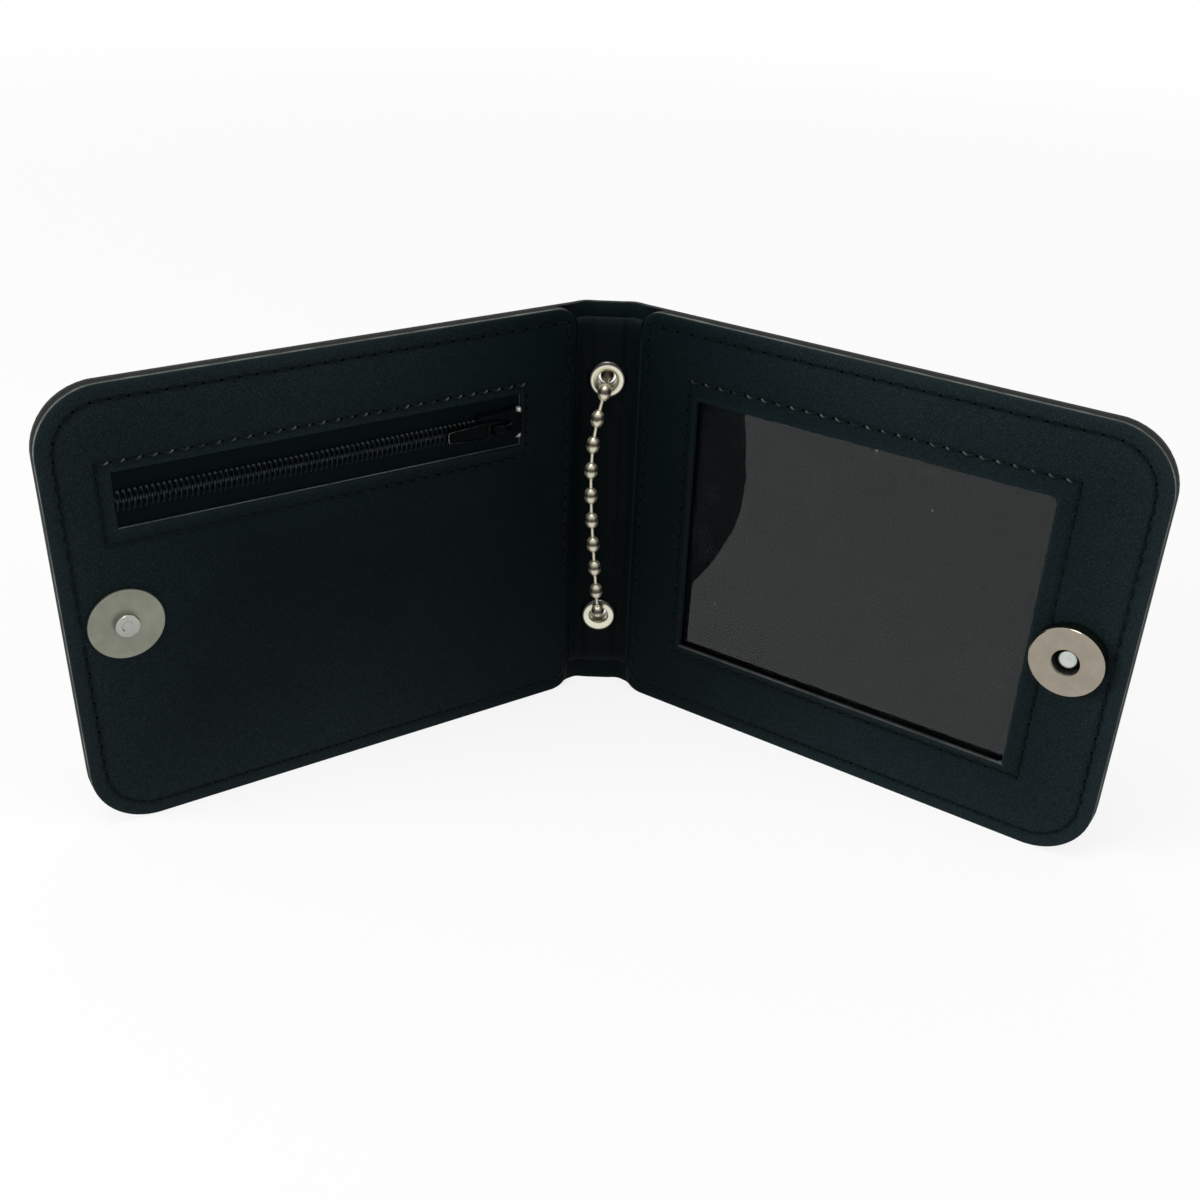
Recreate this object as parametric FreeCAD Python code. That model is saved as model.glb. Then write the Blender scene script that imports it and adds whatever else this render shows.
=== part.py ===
import FreeCAD, Part
import math
import os

# Folding leather wallet for an identity card, standing open like a book on its bottom edges.
# Millimetres, +Z up along the spine. The camera side, where the covers reach, is -Y.
# The left cover holds a zipped coin pocket, the right one a card pocket with a clear window.
# A magnetic snap closes the free edges, and a ball chain runs through two eyelets in the spine.

# Covers: each is measured from its fold axis to its free edge
COVER_WIDTH = 109.0
COVER_HEIGHT = 88.9
CORNER_RADIUS = 12.0
FOLD_IN = 33.2
OUTER_LEATHER = 1.4
POCKET_LINING = 0.25
INNER_LEAF = 0.85
SEWN_BORDER = 5.0
POCKET_CORNER = 7.0
INNER_START = 3.0
FOLD_GAP = 0.3

# Spine strip
SPINE_LINER = 0.8
LINER_TOP_INSET = 3.0
LINER_BOTTOM_INSET = 5.0

# Card window, set in from the fold, the free edge, the bottom and the top of its cover
WINDOW_START = 17.3
WINDOW_FREE_MARGIN = 18.7
WINDOW_LOW = 16.0
WINDOW_TOP_MARGIN = 16.2
WINDOW_CORNER = 2.0
WINDOW_OVERLAP = 4.5
VINYL = 0.3

# Zip: its slot is set in from the fold, the free edge and the top of its cover
SLOT_START = 16.4
SLOT_FREE_MARGIN = 11.9
SLOT_TOP_MARGIN = 16.2
SLOT_OPEN = 10.8
TAPE = 0.4
TAPE_OVERLAP = 5.0
COIL_WIDTH = 4.0
COIL_HEIGHT = 1.2
RUN_CLEAR = 0.15
END_CLEAR = 0.4

# Zip slider and pull
SLIDER_LENGTH = 9.6
SLIDER_WIDE = 6.6
SLIDER_NARROW = 5.4
SLIDER_BASE = 0.5
SLIDER_TOP = 0.7
DIVIDER_THICK = 0.4
DIVIDER_LENGTH = 1.8
BRIDGE_LENGTH = 5.0
BRIDGE_WIDTH = 1.4
BRIDGE_HEIGHT = 1.6
BRIDGE_WALL = 0.55
PULL_PIN_RADIUS = 0.35
PULL_THICK = 0.8
PULL_ARM = 0.75
PULL_LENGTH = 12.0
PULL_NARROW = 2.6
PULL_DROOP = 1.0

# Magnetic snap
SNAP_DIAMETER = 14.0
SNAP_FREE_MARGIN = 10.6
SNAP_BELOW_MIDDLE = 0.95
STUD_PLATE = 0.8
STUD_TIP_DIAMETER = 4.6
STUD_TIP_HEIGHT = 1.0
SOCKET_HEIGHT = 3.0
SOCKET_WALL = 0.5
SOCKET_HOLE = 5.1
SOCKET_POST = 3.7
SOCKET_POST_HEIGHT = 1.7
SNAP_EDGE = 0.25
RIVET_DIAMETER = 2.2
RIVET_FIT = 0.05
BACKING_DIAMETER = 6.6
BACKING = 0.5
CLOSED_CLEAR = 0.3

# Eyelets
UPPER_EYELET_MARGIN = 16.0
LOWER_EYELET_Z = 17.2
EYELET_BORE = 3.8
EYELET_WALL = 0.35
EYELET_FLANGE = 7.9
EYELET_CREST = 6.4
EYELET_RISE = 0.8
EYELET_WASHER = 7.6
WASHER = 0.4
SETTING = 0.4
SETTING_FLARE = 0.9

# Ball chain
BEAD_DIAMETER = 3.0
BEAD_WALL = 0.3
BEAD_HOLE = 1.2
BEAD_PITCH = 5.8
LINK_DIAMETER = 0.8
LINK_KNOB = 1.5
COIL_PITCH = 3.5
COIL_OUTER_RADIUS = 19.75
COIL_HALF_TURNS = 5
COIL_CENTRE = (10.0, 46.0)
CHAIN_BEHIND = 2.2
CHAIN_DRAWN = 55.7
FLOOR_CLEAR = 0.05
CLASP_LENGTH = 10.0
CLASP_WALL = 0.45
CLASP_CLEAR = 0.15
CLASP_GRIP = 3.5

# Offsets through a cover, counted from the middle of the outer leather towards the inside
LEATHER_FACE = OUTER_LEATHER / 2
LINING_FACE = LEATHER_FACE + POCKET_LINING
POCKET_DEPTH = TAPE + SLIDER_BASE + 2 * RUN_CLEAR
LEAF_BACK = LINING_FACE + POCKET_DEPTH
FACE = LEAF_BACK + INNER_LEAF
CLOSED_GAP = STUD_PLATE + SOCKET_HEIGHT + CLOSED_CLEAR
SPINE_PITCH = 2 * FACE + CLOSED_GAP
SPINE_HALF = SPINE_PITCH / 2 - LEATHER_FACE - FOLD_GAP

# Places on the covers and the spine that follow the covers' size
WINDOW_END = COVER_WIDTH - WINDOW_FREE_MARGIN
WINDOW_HIGH = COVER_HEIGHT - WINDOW_TOP_MARGIN
SLOT_END = COVER_WIDTH - SLOT_FREE_MARGIN
SLOT_HIGH = COVER_HEIGHT - SLOT_TOP_MARGIN
SLOT_LOW = SLOT_HIGH - SLOT_OPEN
SNAP_FROM_FOLD = COVER_WIDTH - SNAP_FREE_MARGIN
SNAP_HEIGHT = COVER_HEIGHT / 2 - SNAP_BELOW_MIDDLE
UPPER_EYELET_Z = COVER_HEIGHT - UPPER_EYELET_MARGIN

# The frame's origin is at the middle of the bottom of the wallet's own box
EYELET_BACK = LEATHER_FACE + WASHER + SETTING
FOLD = math.radians(FOLD_IN)
FRONT_REACH = COVER_WIDTH * math.sin(FOLD) + FACE * math.cos(FOLD)
FOLD_AXIS_Y = (FRONT_REACH - EYELET_BACK) / 2

UP = FreeCAD.Vector(0, 0, 1)
ORIGIN = FreeCAD.Vector(0, 0, 0)
LEFT = -1
RIGHT = 1


def vec(x, y, z):
    return FreeCAD.Vector(x, y, z)


def export(name, shapes):
    """Writes one node, a solid or a group of separate solids, moved into the wallet's frame."""
    solids = [solid for shape in shapes for solid in shape.Solids]
    node = solids[0] if len(solids) == 1 else Part.makeCompound(solids)
    node.translate(vec(0, FOLD_AXIS_Y, 0))
    node.exportStep("parts/" + name + ".step")
    print(name, "solids", len(solids), "volume", round(node.Volume, 2), "valid", node.isValid())


def outline(corners):
    """A closed flat wire in the plane of a cover, from (u, z, radius) corners, round where radius is set."""
    edges = []
    count = len(corners)
    cuts = []
    for i in range(count):
        u, z, radius = corners[i]
        here = vec(u, 0, z)
        back = vec(corners[i - 1][0], 0, corners[i - 1][1]) - here
        ahead = vec(corners[(i + 1) % count][0], 0, corners[(i + 1) % count][1]) - here
        back.normalize()
        ahead.normalize()
        half = back.getAngle(ahead) / 2
        reach = radius / math.tan(half)
        bisector = (back + ahead).normalize()
        middle = here + bisector * (radius / math.sin(half) - radius)
        cuts.append((here + back * reach, middle, here + ahead * reach, radius))
    for i in range(count):
        start, middle, end, radius = cuts[i]
        if radius > 0:
            edges.append(Part.Arc(start, middle, end).toShape())
        edges.append(Part.makeLine(end, cuts[(i + 1) % count][0]))
    return Part.Wire(edges)


def sheet(corners, low, high):
    """A flat sheet of that outline between two offsets through the cover, in the right cover's flat frame."""
    face = Part.Face(outline(corners))
    face.translate(vec(0, -low, 0))
    return face.extrude(vec(0, low - high, 0))


def oblong(start, end, bottom, top, inner=0.0, outer=0.0):
    """Corners of a rectangle whose fold-side and free-side corners have their own radii."""
    return [(start, bottom, inner), (end, bottom, outer), (end, top, outer), (start, top, inner)]


def peg(u, z, diameter, low, high):
    """A round bar through the cover at u, z."""
    return Part.makeCylinder(diameter / 2, high - low, vec(u, -low, z), vec(0, -1, 0))


def on_cover(shape, side):
    """Moves a shape from the flat right cover's frame to either cover at its resting fold."""
    placed = shape.mirror(ORIGIN, vec(1, 0, 0)) if side == LEFT else shape.copy()
    placed.rotate(ORIGIN, UP, -side * FOLD_IN)
    placed.translate(vec(side * SPINE_PITCH / 2, 0, 0))
    return placed


def cover_leather():
    """Outer leather of a cover, with a round edge on the fold axis."""
    corners = oblong(0, COVER_WIDTH, 0, COVER_HEIGHT, outer=CORNER_RADIUS)
    fold_edge = Part.makeCylinder(LEATHER_FACE, COVER_HEIGHT)
    return sheet(corners, -LEATHER_FACE, LEATHER_FACE).fuse(fold_edge).removeSplitter()


def pocket_lining():
    """Thin lining sewn in on the outer leather, the pocket's back wall."""
    corners = oblong(INNER_START, COVER_WIDTH, 0, COVER_HEIGHT, outer=CORNER_RADIUS)
    return sheet(corners, LEATHER_FACE, LINING_FACE)


def inner_leather(pocket_start, corner):
    """Inner leather: thick at its sewn border, and hollowed behind by the pocket."""
    corners = oblong(INNER_START, COVER_WIDTH, 0, COVER_HEIGHT, outer=CORNER_RADIUS)
    body = sheet(corners, LINING_FACE, FACE)
    pocket_end = COVER_WIDTH - SEWN_BORDER
    pocket_top = COVER_HEIGHT - SEWN_BORDER
    pocket = oblong(pocket_start, pocket_end, SEWN_BORDER, pocket_top, corner, POCKET_CORNER)
    return body.cut(sheet(pocket, LINING_FACE, LEAF_BACK))


def rivet_hole():
    return peg(SNAP_FROM_FOLD, SNAP_HEIGHT, RIVET_DIAMETER + 2 * RIVET_FIT, LEAF_BACK, FACE)


def backing_washer():
    """Washer behind the leaf that the snap's rivet is set on."""
    washer = peg(SNAP_FROM_FOLD, SNAP_HEIGHT, BACKING_DIAMETER, LEAF_BACK - BACKING, LEAF_BACK)
    hole = peg(SNAP_FROM_FOLD, SNAP_HEIGHT, RIVET_DIAMETER + 2 * RIVET_FIT, LEAF_BACK - BACKING, LEAF_BACK)
    return washer.cut(hole)


def snap_rivet(top):
    return peg(SNAP_FROM_FOLD, SNAP_HEIGHT, RIVET_DIAMETER, LEAF_BACK - BACKING, top)


def soften(solid, level, size):
    """Rounds the circular edges of a snap piece that lie at one offset through the cover."""
    edges = [edge for edge in solid.Edges if abs(edge.BoundBox.YMin + level) < 1e-6
             and abs(edge.BoundBox.YMax + level) < 1e-6 and edge.Length > math.pi * SNAP_DIAMETER * 0.9]
    return solid.makeFillet(size, edges)


def left_cover():
    """Zip side: outer leather, coin pocket, zip and the stud half of the snap."""
    zip_z = (SLOT_LOW + SLOT_HIGH) / 2
    slit = DIVIDER_THICK / 2 + RUN_CLEAR
    tape_back = LEAF_BACK - TAPE
    coil_top = LEAF_BACK + COIL_HEIGHT
    slot = sheet(oblong(SLOT_START, SLOT_END, SLOT_LOW, SLOT_HIGH), LEAF_BACK, FACE)
    panel = inner_leather(INNER_START + SEWN_BORDER, POCKET_CORNER).cut(slot).cut(rivet_hole())
    export("left_outer_leather", [on_cover(cover_leather(), LEFT)])
    export("coin_pocket_lining", [on_cover(pocket_lining(), LEFT)])
    export("zip_panel", [on_cover(panel, LEFT)])

    for name, sign, edge in (("upper", 1, SLOT_HIGH), ("lower", -1, SLOT_LOW)):
        near = zip_z + sign * slit
        far = edge + sign * TAPE_OVERLAP
        rows = sorted((near, far))
        ends = (SLOT_START - TAPE_OVERLAP, SLOT_END + TAPE_OVERLAP)
        tape = sheet(oblong(ends[0], ends[1], rows[0], rows[1]), tape_back, LEAF_BACK)
        export("zip_tape_" + name, [on_cover(tape, LEFT)])
        rows = sorted((near, zip_z + sign * COIL_WIDTH / 2))
        ends = (SLOT_START + RUN_CLEAR, SLOT_END - RUN_CLEAR)
        coil = sheet(oblong(ends[0], ends[1], rows[0], rows[1]), LEAF_BACK, coil_top)
        outer_edge = [e for e in coil.Edges if abs(e.BoundBox.YMin + coil_top) < 1e-6
                      and abs(e.BoundBox.ZMin - zip_z - sign * COIL_WIDTH / 2) < 1e-6
                      and e.BoundBox.ZLength < 1e-6]
        export("zip_coil_" + name, [on_cover(coil.makeFillet(COIL_HEIGHT / 2, outer_edge), LEFT)])

    plate = peg(SNAP_FROM_FOLD, SNAP_HEIGHT, SNAP_DIAMETER, FACE, FACE + STUD_PLATE)
    plate = soften(plate, FACE + STUD_PLATE, SNAP_EDGE)
    bore = peg(SNAP_FROM_FOLD, SNAP_HEIGHT, RIVET_DIAMETER + 2 * RIVET_FIT, FACE, FACE + STUD_PLATE)
    tip_base = FACE + STUD_PLATE
    tip = peg(SNAP_FROM_FOLD, SNAP_HEIGHT, STUD_TIP_DIAMETER, tip_base, tip_base + STUD_TIP_HEIGHT)
    export("stud_plate", [on_cover(plate.cut(bore), LEFT)])
    export("stud_tip", [on_cover(tip.fuse(snap_rivet(tip_base)), LEFT)])
    export("stud_backing", [on_cover(backing_washer(), LEFT)])
    zip_slider(zip_z, coil_top)


def zip_slider(zip_z, coil_top):
    """Slider on the closed coil at the spine end of the slot, and its pull laid towards the free edge."""
    start = SLOT_START + END_CLEAR
    end = start + SLIDER_LENGTH
    middle = (start + end) / 2
    plan = [(start, zip_z - SLIDER_WIDE / 2, 0), (end, zip_z - SLIDER_NARROW / 2, 0),
            (end, zip_z + SLIDER_NARROW / 2, 0), (start, zip_z + SLIDER_WIDE / 2, 0)]
    base_low = LINING_FACE + RUN_CLEAR
    top_low = coil_top + RUN_CLEAR
    top_high = top_low + SLIDER_TOP
    half = COIL_WIDTH / 2 + RUN_CLEAR
    base = sheet(plan, base_low, base_low + SLIDER_BASE)
    shell = sheet(plan, LEAF_BACK + RUN_CLEAR, top_high)
    channel = sheet(oblong(start, end, zip_z - half, zip_z + half), LEAF_BACK + RUN_CLEAR, top_low)
    web = DIVIDER_THICK / 2
    divider = sheet(oblong(start, start + DIVIDER_LENGTH, zip_z - web, zip_z + web), base_low, top_high)

    pin_level = top_high + RUN_CLEAR + PULL_THICK / 2
    long = BRIDGE_LENGTH / 2
    wide = BRIDGE_WIDTH / 2
    bridge = sheet(oblong(middle - long, middle + long, zip_z - wide, zip_z + wide),
                   top_high, top_high + BRIDGE_HEIGHT)
    eye = sheet(oblong(middle - long + BRIDGE_WALL, middle + long - BRIDGE_WALL, zip_z - wide, zip_z + wide),
                top_high, top_high + BRIDGE_HEIGHT - BRIDGE_WALL)
    slider = shell.cut(channel).fuse([base, divider, bridge.cut(eye)]).removeSplitter()
    export("zip_slider", [on_cover(slider, LEFT)])

    inner = wide + RUN_CLEAR
    outer = inner + PULL_ARM
    swing = math.hypot(long, top_high + BRIDGE_HEIGHT - pin_level) + RUN_CLEAR
    tab_start = middle + swing
    tab_end = middle + PULL_LENGTH
    pin = Part.makeCylinder(PULL_PIN_RADIUS, 2 * outer, vec(middle, -pin_level, zip_z - outer), UP)
    low = pin_level - PULL_THICK / 2
    high = pin_level + PULL_THICK / 2
    arms = []
    for arm_low in (zip_z + inner, zip_z - outer):
        arms.append(sheet(oblong(middle, tab_start + PULL_ARM, arm_low, arm_low + PULL_ARM), low, high))
        arms.append(Part.makeCylinder(PULL_THICK / 2, PULL_ARM, vec(middle, -pin_level, arm_low), UP))
    tip = PULL_NARROW / 2
    plan = [(tab_start, zip_z - outer, 0), (tab_end, zip_z - tip, tip / 2),
            (tab_end, zip_z + tip, tip / 2), (tab_start, zip_z + outer, 0)]
    tab = sheet(plan, low, high)
    pull = tab.fuse(arms + [pin]).removeSplitter()
    pull.rotate(vec(middle, -pin_level, zip_z), UP, PULL_DROOP)
    export("zip_pull", [on_cover(pull, LEFT)])
    mark = Part.Vertex(middle, -pin_level, zip_z)
    hinge = on_cover(mark, LEFT).Point
    travel = SLOT_END - END_CLEAR - end
    print("zip pull axis at", round(hinge.x, 3), round(hinge.y + FOLD_AXIS_Y, 3), round(hinge.z, 3))
    print("slider travel", round(travel, 3))


def right_cover():
    """Window side: outer leather, card pocket open towards the spine, clear window and the socket."""
    window = oblong(WINDOW_START, WINDOW_END, WINDOW_LOW, WINDOW_HIGH, outer=WINDOW_CORNER)
    hole = sheet(window, LEAF_BACK, FACE)
    frame = inner_leather(INNER_START, 0.0).cut(hole).cut(rivet_hole())
    vinyl = sheet(oblong(WINDOW_START - WINDOW_OVERLAP, WINDOW_END + WINDOW_OVERLAP,
                         WINDOW_LOW - WINDOW_OVERLAP, WINDOW_HIGH + WINDOW_OVERLAP),
                  LEAF_BACK - VINYL, LEAF_BACK)
    export("right_outer_leather", [on_cover(cover_leather(), RIGHT)])
    export("card_pocket_lining", [on_cover(pocket_lining(), RIGHT)])
    export("window_frame", [on_cover(frame, RIGHT)])
    export("window_vinyl", [on_cover(vinyl, RIGHT)])

    case_top = FACE + SOCKET_HEIGHT
    roof = case_top - SOCKET_WALL
    case = soften(peg(SNAP_FROM_FOLD, SNAP_HEIGHT, SNAP_DIAMETER, FACE, case_top), case_top, SNAP_EDGE)
    well = peg(SNAP_FROM_FOLD, SNAP_HEIGHT, SNAP_DIAMETER - 2 * SOCKET_WALL, FACE, roof)
    mouth = peg(SNAP_FROM_FOLD, SNAP_HEIGHT, SOCKET_HOLE, FACE, case_top)
    magnet = peg(SNAP_FROM_FOLD, SNAP_HEIGHT, SNAP_DIAMETER - 2 * SOCKET_WALL, FACE, roof)
    post = peg(SNAP_FROM_FOLD, SNAP_HEIGHT, SOCKET_POST, FACE, FACE + SOCKET_POST_HEIGHT)
    export("socket_case", [on_cover(case.cut(well).cut(mouth), RIGHT)])
    export("socket_magnet", [on_cover(magnet.cut(mouth), RIGHT)])
    export("socket_post", [on_cover(post.fuse(snap_rivet(FACE)), RIGHT)])
    export("socket_backing", [on_cover(backing_washer(), RIGHT)])


def spine_strip():
    """Leather strip between the two folds with its liner, drilled for the eyelets."""
    barrel = EYELET_BORE / 2 + EYELET_WALL + RIVET_FIT
    leather = Part.makeBox(2 * SPINE_HALF, OUTER_LEATHER, COVER_HEIGHT, vec(-SPINE_HALF, -LEATHER_FACE, 0))
    liner_height = COVER_HEIGHT - LINER_TOP_INSET - LINER_BOTTOM_INSET
    liner = Part.makeBox(2 * SPINE_HALF, SPINE_LINER, liner_height,
                         vec(-SPINE_HALF, -LEATHER_FACE - SPINE_LINER, LINER_BOTTOM_INSET))
    depth = OUTER_LEATHER + SPINE_LINER
    for z in (UPPER_EYELET_Z, LOWER_EYELET_Z):
        drill = Part.makeCylinder(barrel, depth, vec(0, LEATHER_FACE, z), vec(0, -1, 0))
        leather = leather.cut(drill)
        liner = liner.cut(drill)
    export("spine_outer_leather", [leather])
    export("spine_liner", [liner])


def eyelet(z):
    """Rolled eyelet turned about its bore: round funnel in front, set over the washer behind."""
    bore = EYELET_BORE / 2
    barrel = bore + EYELET_WALL
    crest = EYELET_CREST / 2
    rim = EYELET_FLANGE / 2
    front = -LEATHER_FACE - SPINE_LINER
    top = front - EYELET_RISE
    washer_back = LEATHER_FACE + WASHER
    back = washer_back + SETTING
    slant = math.sqrt(0.5)
    funnel = vec(crest - (crest - bore) * slant, front - EYELET_RISE * slant, 0)
    roll = vec(crest + (rim - crest) * slant, front - EYELET_RISE * slant, 0)
    path = [vec(rim, front, 0), vec(barrel, front, 0), vec(barrel, washer_back, 0),
            vec(barrel + SETTING_FLARE, washer_back, 0), vec(barrel + SETTING_FLARE / 2, back, 0),
            vec(bore, back, 0), vec(bore, front, 0)]
    edges = [Part.makeLine(path[i], path[i + 1]) for i in range(len(path) - 1)]
    edges.append(Part.Arc(vec(bore, front, 0), funnel, vec(crest, top, 0)).toShape())
    edges.append(Part.Arc(vec(crest, top, 0), roll, vec(rim, front, 0)).toShape())
    solid = Part.Face(Part.Wire(edges)).revolve(ORIGIN, vec(0, 1, 0), 360)
    solid.translate(vec(0, 0, z))
    return solid


def eyelet_washer(z):
    barrel = EYELET_BORE / 2 + EYELET_WALL + RIVET_FIT
    disc = Part.makeCylinder(EYELET_WASHER / 2, WASHER, vec(0, LEATHER_FACE, z), vec(0, 1, 0))
    return disc.cut(Part.makeCylinder(barrel, WASHER, vec(0, LEATHER_FACE, z), vec(0, 1, 0)))


def route(points):
    """Edges of straight runs joined by tangent arcs, each as large as its two runs allow, and their radii."""
    edges = []
    radii = []
    last = points[0]
    for i in range(1, len(points) - 1):
        here = points[i]
        back = points[i - 1] - here
        ahead = points[i + 1] - here
        reach = 0.45 * min(back.Length, ahead.Length)
        back.normalize()
        ahead.normalize()
        half_turn = (math.pi - back.getAngle(ahead)) / 2
        radius = reach / math.tan(half_turn)
        bisector = (back + ahead).normalize()
        start = here + back * reach
        end = here + ahead * reach
        middle = here + bisector * (radius / math.cos(half_turn) - radius)
        edges.append(Part.makeLine(last, start))
        edges.append(Part.Arc(start, middle, end).toShape())
        radii.append(round(radius, 1))
        last = end
    edges.append(Part.makeLine(last, points[-1]))
    return edges, radii


def tube(name, edges, diameter):
    """Round tube along the edges, in one unbroken sweep, with its volume against section times length."""
    path = Part.Wire(edges)
    start = edges[0].valueAt(edges[0].FirstParameter)
    heading = edges[0].tangentAt(edges[0].FirstParameter)
    ring = Part.Wire([Part.makeCircle(diameter / 2, start, heading)])
    shape = path.makePipeShell([ring], True, False)
    expected = math.pi * diameter ** 2 / 4 * path.Length
    share = round(shape.Volume / expected, 4)
    print(name, "length", round(path.Length, 1), "volume over section times length", share)
    return shape


def along(edges, distance):
    """Point and heading at a distance along joined edges."""
    for edge in edges:
        if distance <= edge.Length:
            place = edge.getParameterByLength(distance)
            return edge.valueAt(place), edge.tangentAt(place)
        distance -= edge.Length
    raise ValueError("past the end of the route")


def bead(centre, headings):
    """Hollow ball with a hole along each heading for its links, and its poles clear of them."""
    pole = headings[0].cross(vec(1, 0, 0)).normalize()
    ball = Part.makeSphere(BEAD_DIAMETER / 2, centre, pole)
    ball = ball.cut(Part.makeSphere(BEAD_DIAMETER / 2 - BEAD_WALL, centre, pole))
    for heading in headings:
        ball = ball.cut(Part.makeCylinder(BEAD_HOLE / 2, BEAD_DIAMETER, centre, heading))
    return ball


def link(start, end):
    """Short rod between two balls with a knob held inside each."""
    heading = (end - start).normalize()
    inset = BEAD_DIAMETER / 2 - BEAD_WALL - LINK_KNOB / 2 - RIVET_FIT
    first = start + heading * inset
    second = end - heading * inset
    rod = Part.makeCylinder(LINK_DIAMETER / 2, (second - first).Length, first, heading)
    return rod.fuse([Part.makeSphere(LINK_KNOB / 2, first), Part.makeSphere(LINK_KNOB / 2, second)])


def chain_span():
    """The stretch that shows: out of the upper eyelet, slack and bowed to the left, into the lower one."""
    stretch = (UPPER_EYELET_Z - LOWER_EYELET_Z) / CHAIN_DRAWN
    bow = [(-1.7, -5.0, 49.4), (-2.8, -5.2, 40.4), (-2.6, -5.2, 30.8), (-1.9, -5.1, 20.8), (-1.0, -4.9, 10.8)]
    points = [vec(0, CHAIN_BEHIND, UPPER_EYELET_Z), vec(0, -4.2, UPPER_EYELET_Z)]
    points += [vec(x, y, LOWER_EYELET_Z + stretch * rise) for x, y, rise in bow]
    points += [vec(0, -4.6, LOWER_EYELET_Z), vec(0, CHAIN_BEHIND, LOWER_EYELET_Z)]
    edges, radii = route(points)
    length = sum(edge.Length for edge in edges)
    count = int(length / BEAD_PITCH) + 1
    first = (length - (count - 1) * BEAD_PITCH) / 2
    stations = [along(edges, first + i * BEAD_PITCH) for i in range(count)]
    centres = [station[0] for station in stations]
    before = [centres[0] - stations[0][1]] + centres[:-1]
    after = centres[1:] + [centres[-1] + stations[-1][1]]
    export("chain_span_beads", [bead(here, [(back - here).normalize(), (ahead - here).normalize()])
                                for back, here, ahead in zip(before, centres, after)])
    export("chain_span_links", [link(start, end) for start, end in zip(centres, centres[1:])])
    print("chain_span length", round(length, 1), "beads", count, "radii", radii)


def half_circle(centre_x, radius, side, z):
    """Half turn about a point on the coil's cross line, going anticlockwise from one side to the other."""
    x, y = COIL_CENTRE
    start = vec(x + centre_x + side * radius, y, z)
    middle = vec(x + centre_x, y + side * radius, z)
    end = vec(x + centre_x - side * radius, y, z)
    return Part.Arc(start, middle, end).toShape()


def half_arc(start, heading, end):
    """Arc that leaves start along heading and passes through end."""
    chord = end - start
    across = chord - heading * chord.dot(heading)
    bulge = across.normalize()
    radius = chord.Length ** 2 / (2 * chord.dot(bulge))
    centre = start + bulge * radius
    middle = (start + end) * 0.5 - centre
    middle.normalize()
    return Part.Arc(start, centre + middle * radius, end).toShape()


def chain_coil():
    """The length put away behind the spine: loops that spiral in below and out again on top."""
    low = BEAD_DIAMETER / 2 + FLOOR_CLEAR
    high = low + COIL_PITCH
    half_step = COIL_PITCH / 2
    shifts = [0.0 if k % 2 == 0 else -half_step for k in range(COIL_HALF_TURNS)]
    sides = [1 if k % 2 == 0 else -1 for k in range(COIL_HALF_TURNS)]
    radii = [COIL_OUTER_RADIUS - k * half_step for k in range(COIL_HALF_TURNS)]
    lower = [half_circle(shifts[k], radii[k], sides[k], low) for k in range(COIL_HALF_TURNS)]
    foot = lower[-1].valueAt(lower[-1].LastParameter)
    heading = lower[-1].tangentAt(lower[-1].LastParameter)
    turn_side = -sides[-1]
    turn_radius = radii[-1] - half_step
    head = foot + vec(-2 * turn_side * turn_radius, 0, COIL_PITCH)
    reach = (head - foot).Length / 2
    join = (foot + head) * 0.5 + heading * reach
    climb = [half_arc(foot, heading, join)]
    top_arc = half_arc(head, heading, join)
    climb.append(Part.Arc(join, top_arc.valueAt((top_arc.FirstParameter + top_arc.LastParameter) / 2),
                          head).toShape())
    upper = []
    edge_x = head.x - COIL_CENTRE[0]
    side = -turn_side
    for k in range(COIL_HALF_TURNS):
        radius = turn_radius + (k + 1) * half_step
        upper.append(half_circle(edge_x - side * radius, radius, side, high))
        edge_x -= 2 * side * radius
        side = -side
    start = lower[0].valueAt(lower[0].FirstParameter)
    end = upper[-1].valueAt(upper[-1].LastParameter)
    lead_in = Part.makeLine(start - vec(0, BEAD_DIAMETER, 0), start)
    lead_out = Part.makeLine(end, end - vec(0, BEAD_DIAMETER + CLASP_GRIP, 0))
    edges = [lead_in] + lower + climb + upper + [lead_out]
    export("chain_coil", [tube("chain_coil", edges, BEAD_DIAMETER)])
    print("chain_coil least gap to itself", round(self_gap(edges, BEAD_DIAMETER), 3))
    return start - vec(0, BEAD_DIAMETER, 0), end - vec(0, BEAD_DIAMETER, 0)


def self_gap(edges, diameter):
    """Least gap between turns of a tube, on points spaced along its path."""
    points = [point for edge in edges for point in edge.discretize(max(3, int(edge.Length)))]
    apart = 12
    least = min((points[i] - points[j]).Length for i in range(len(points))
                for j in range(i + apart, len(points)))
    return least - diameter


def chain_clasp(mouth):
    """Open-ended sleeve that grips the two ends of the chain."""
    outer = BEAD_DIAMETER / 2 + CLASP_CLEAR + CLASP_WALL
    sleeve = Part.makeCylinder(outer, CLASP_LENGTH, mouth, vec(0, -1, 0))
    bore = Part.makeCylinder(outer - CLASP_WALL, CLASP_LENGTH, mouth, vec(0, -1, 0))
    export("chain_clasp", [sleeve.cut(bore)])
    return mouth - vec(0, CLASP_LENGTH - CLASP_GRIP, 0)


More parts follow.
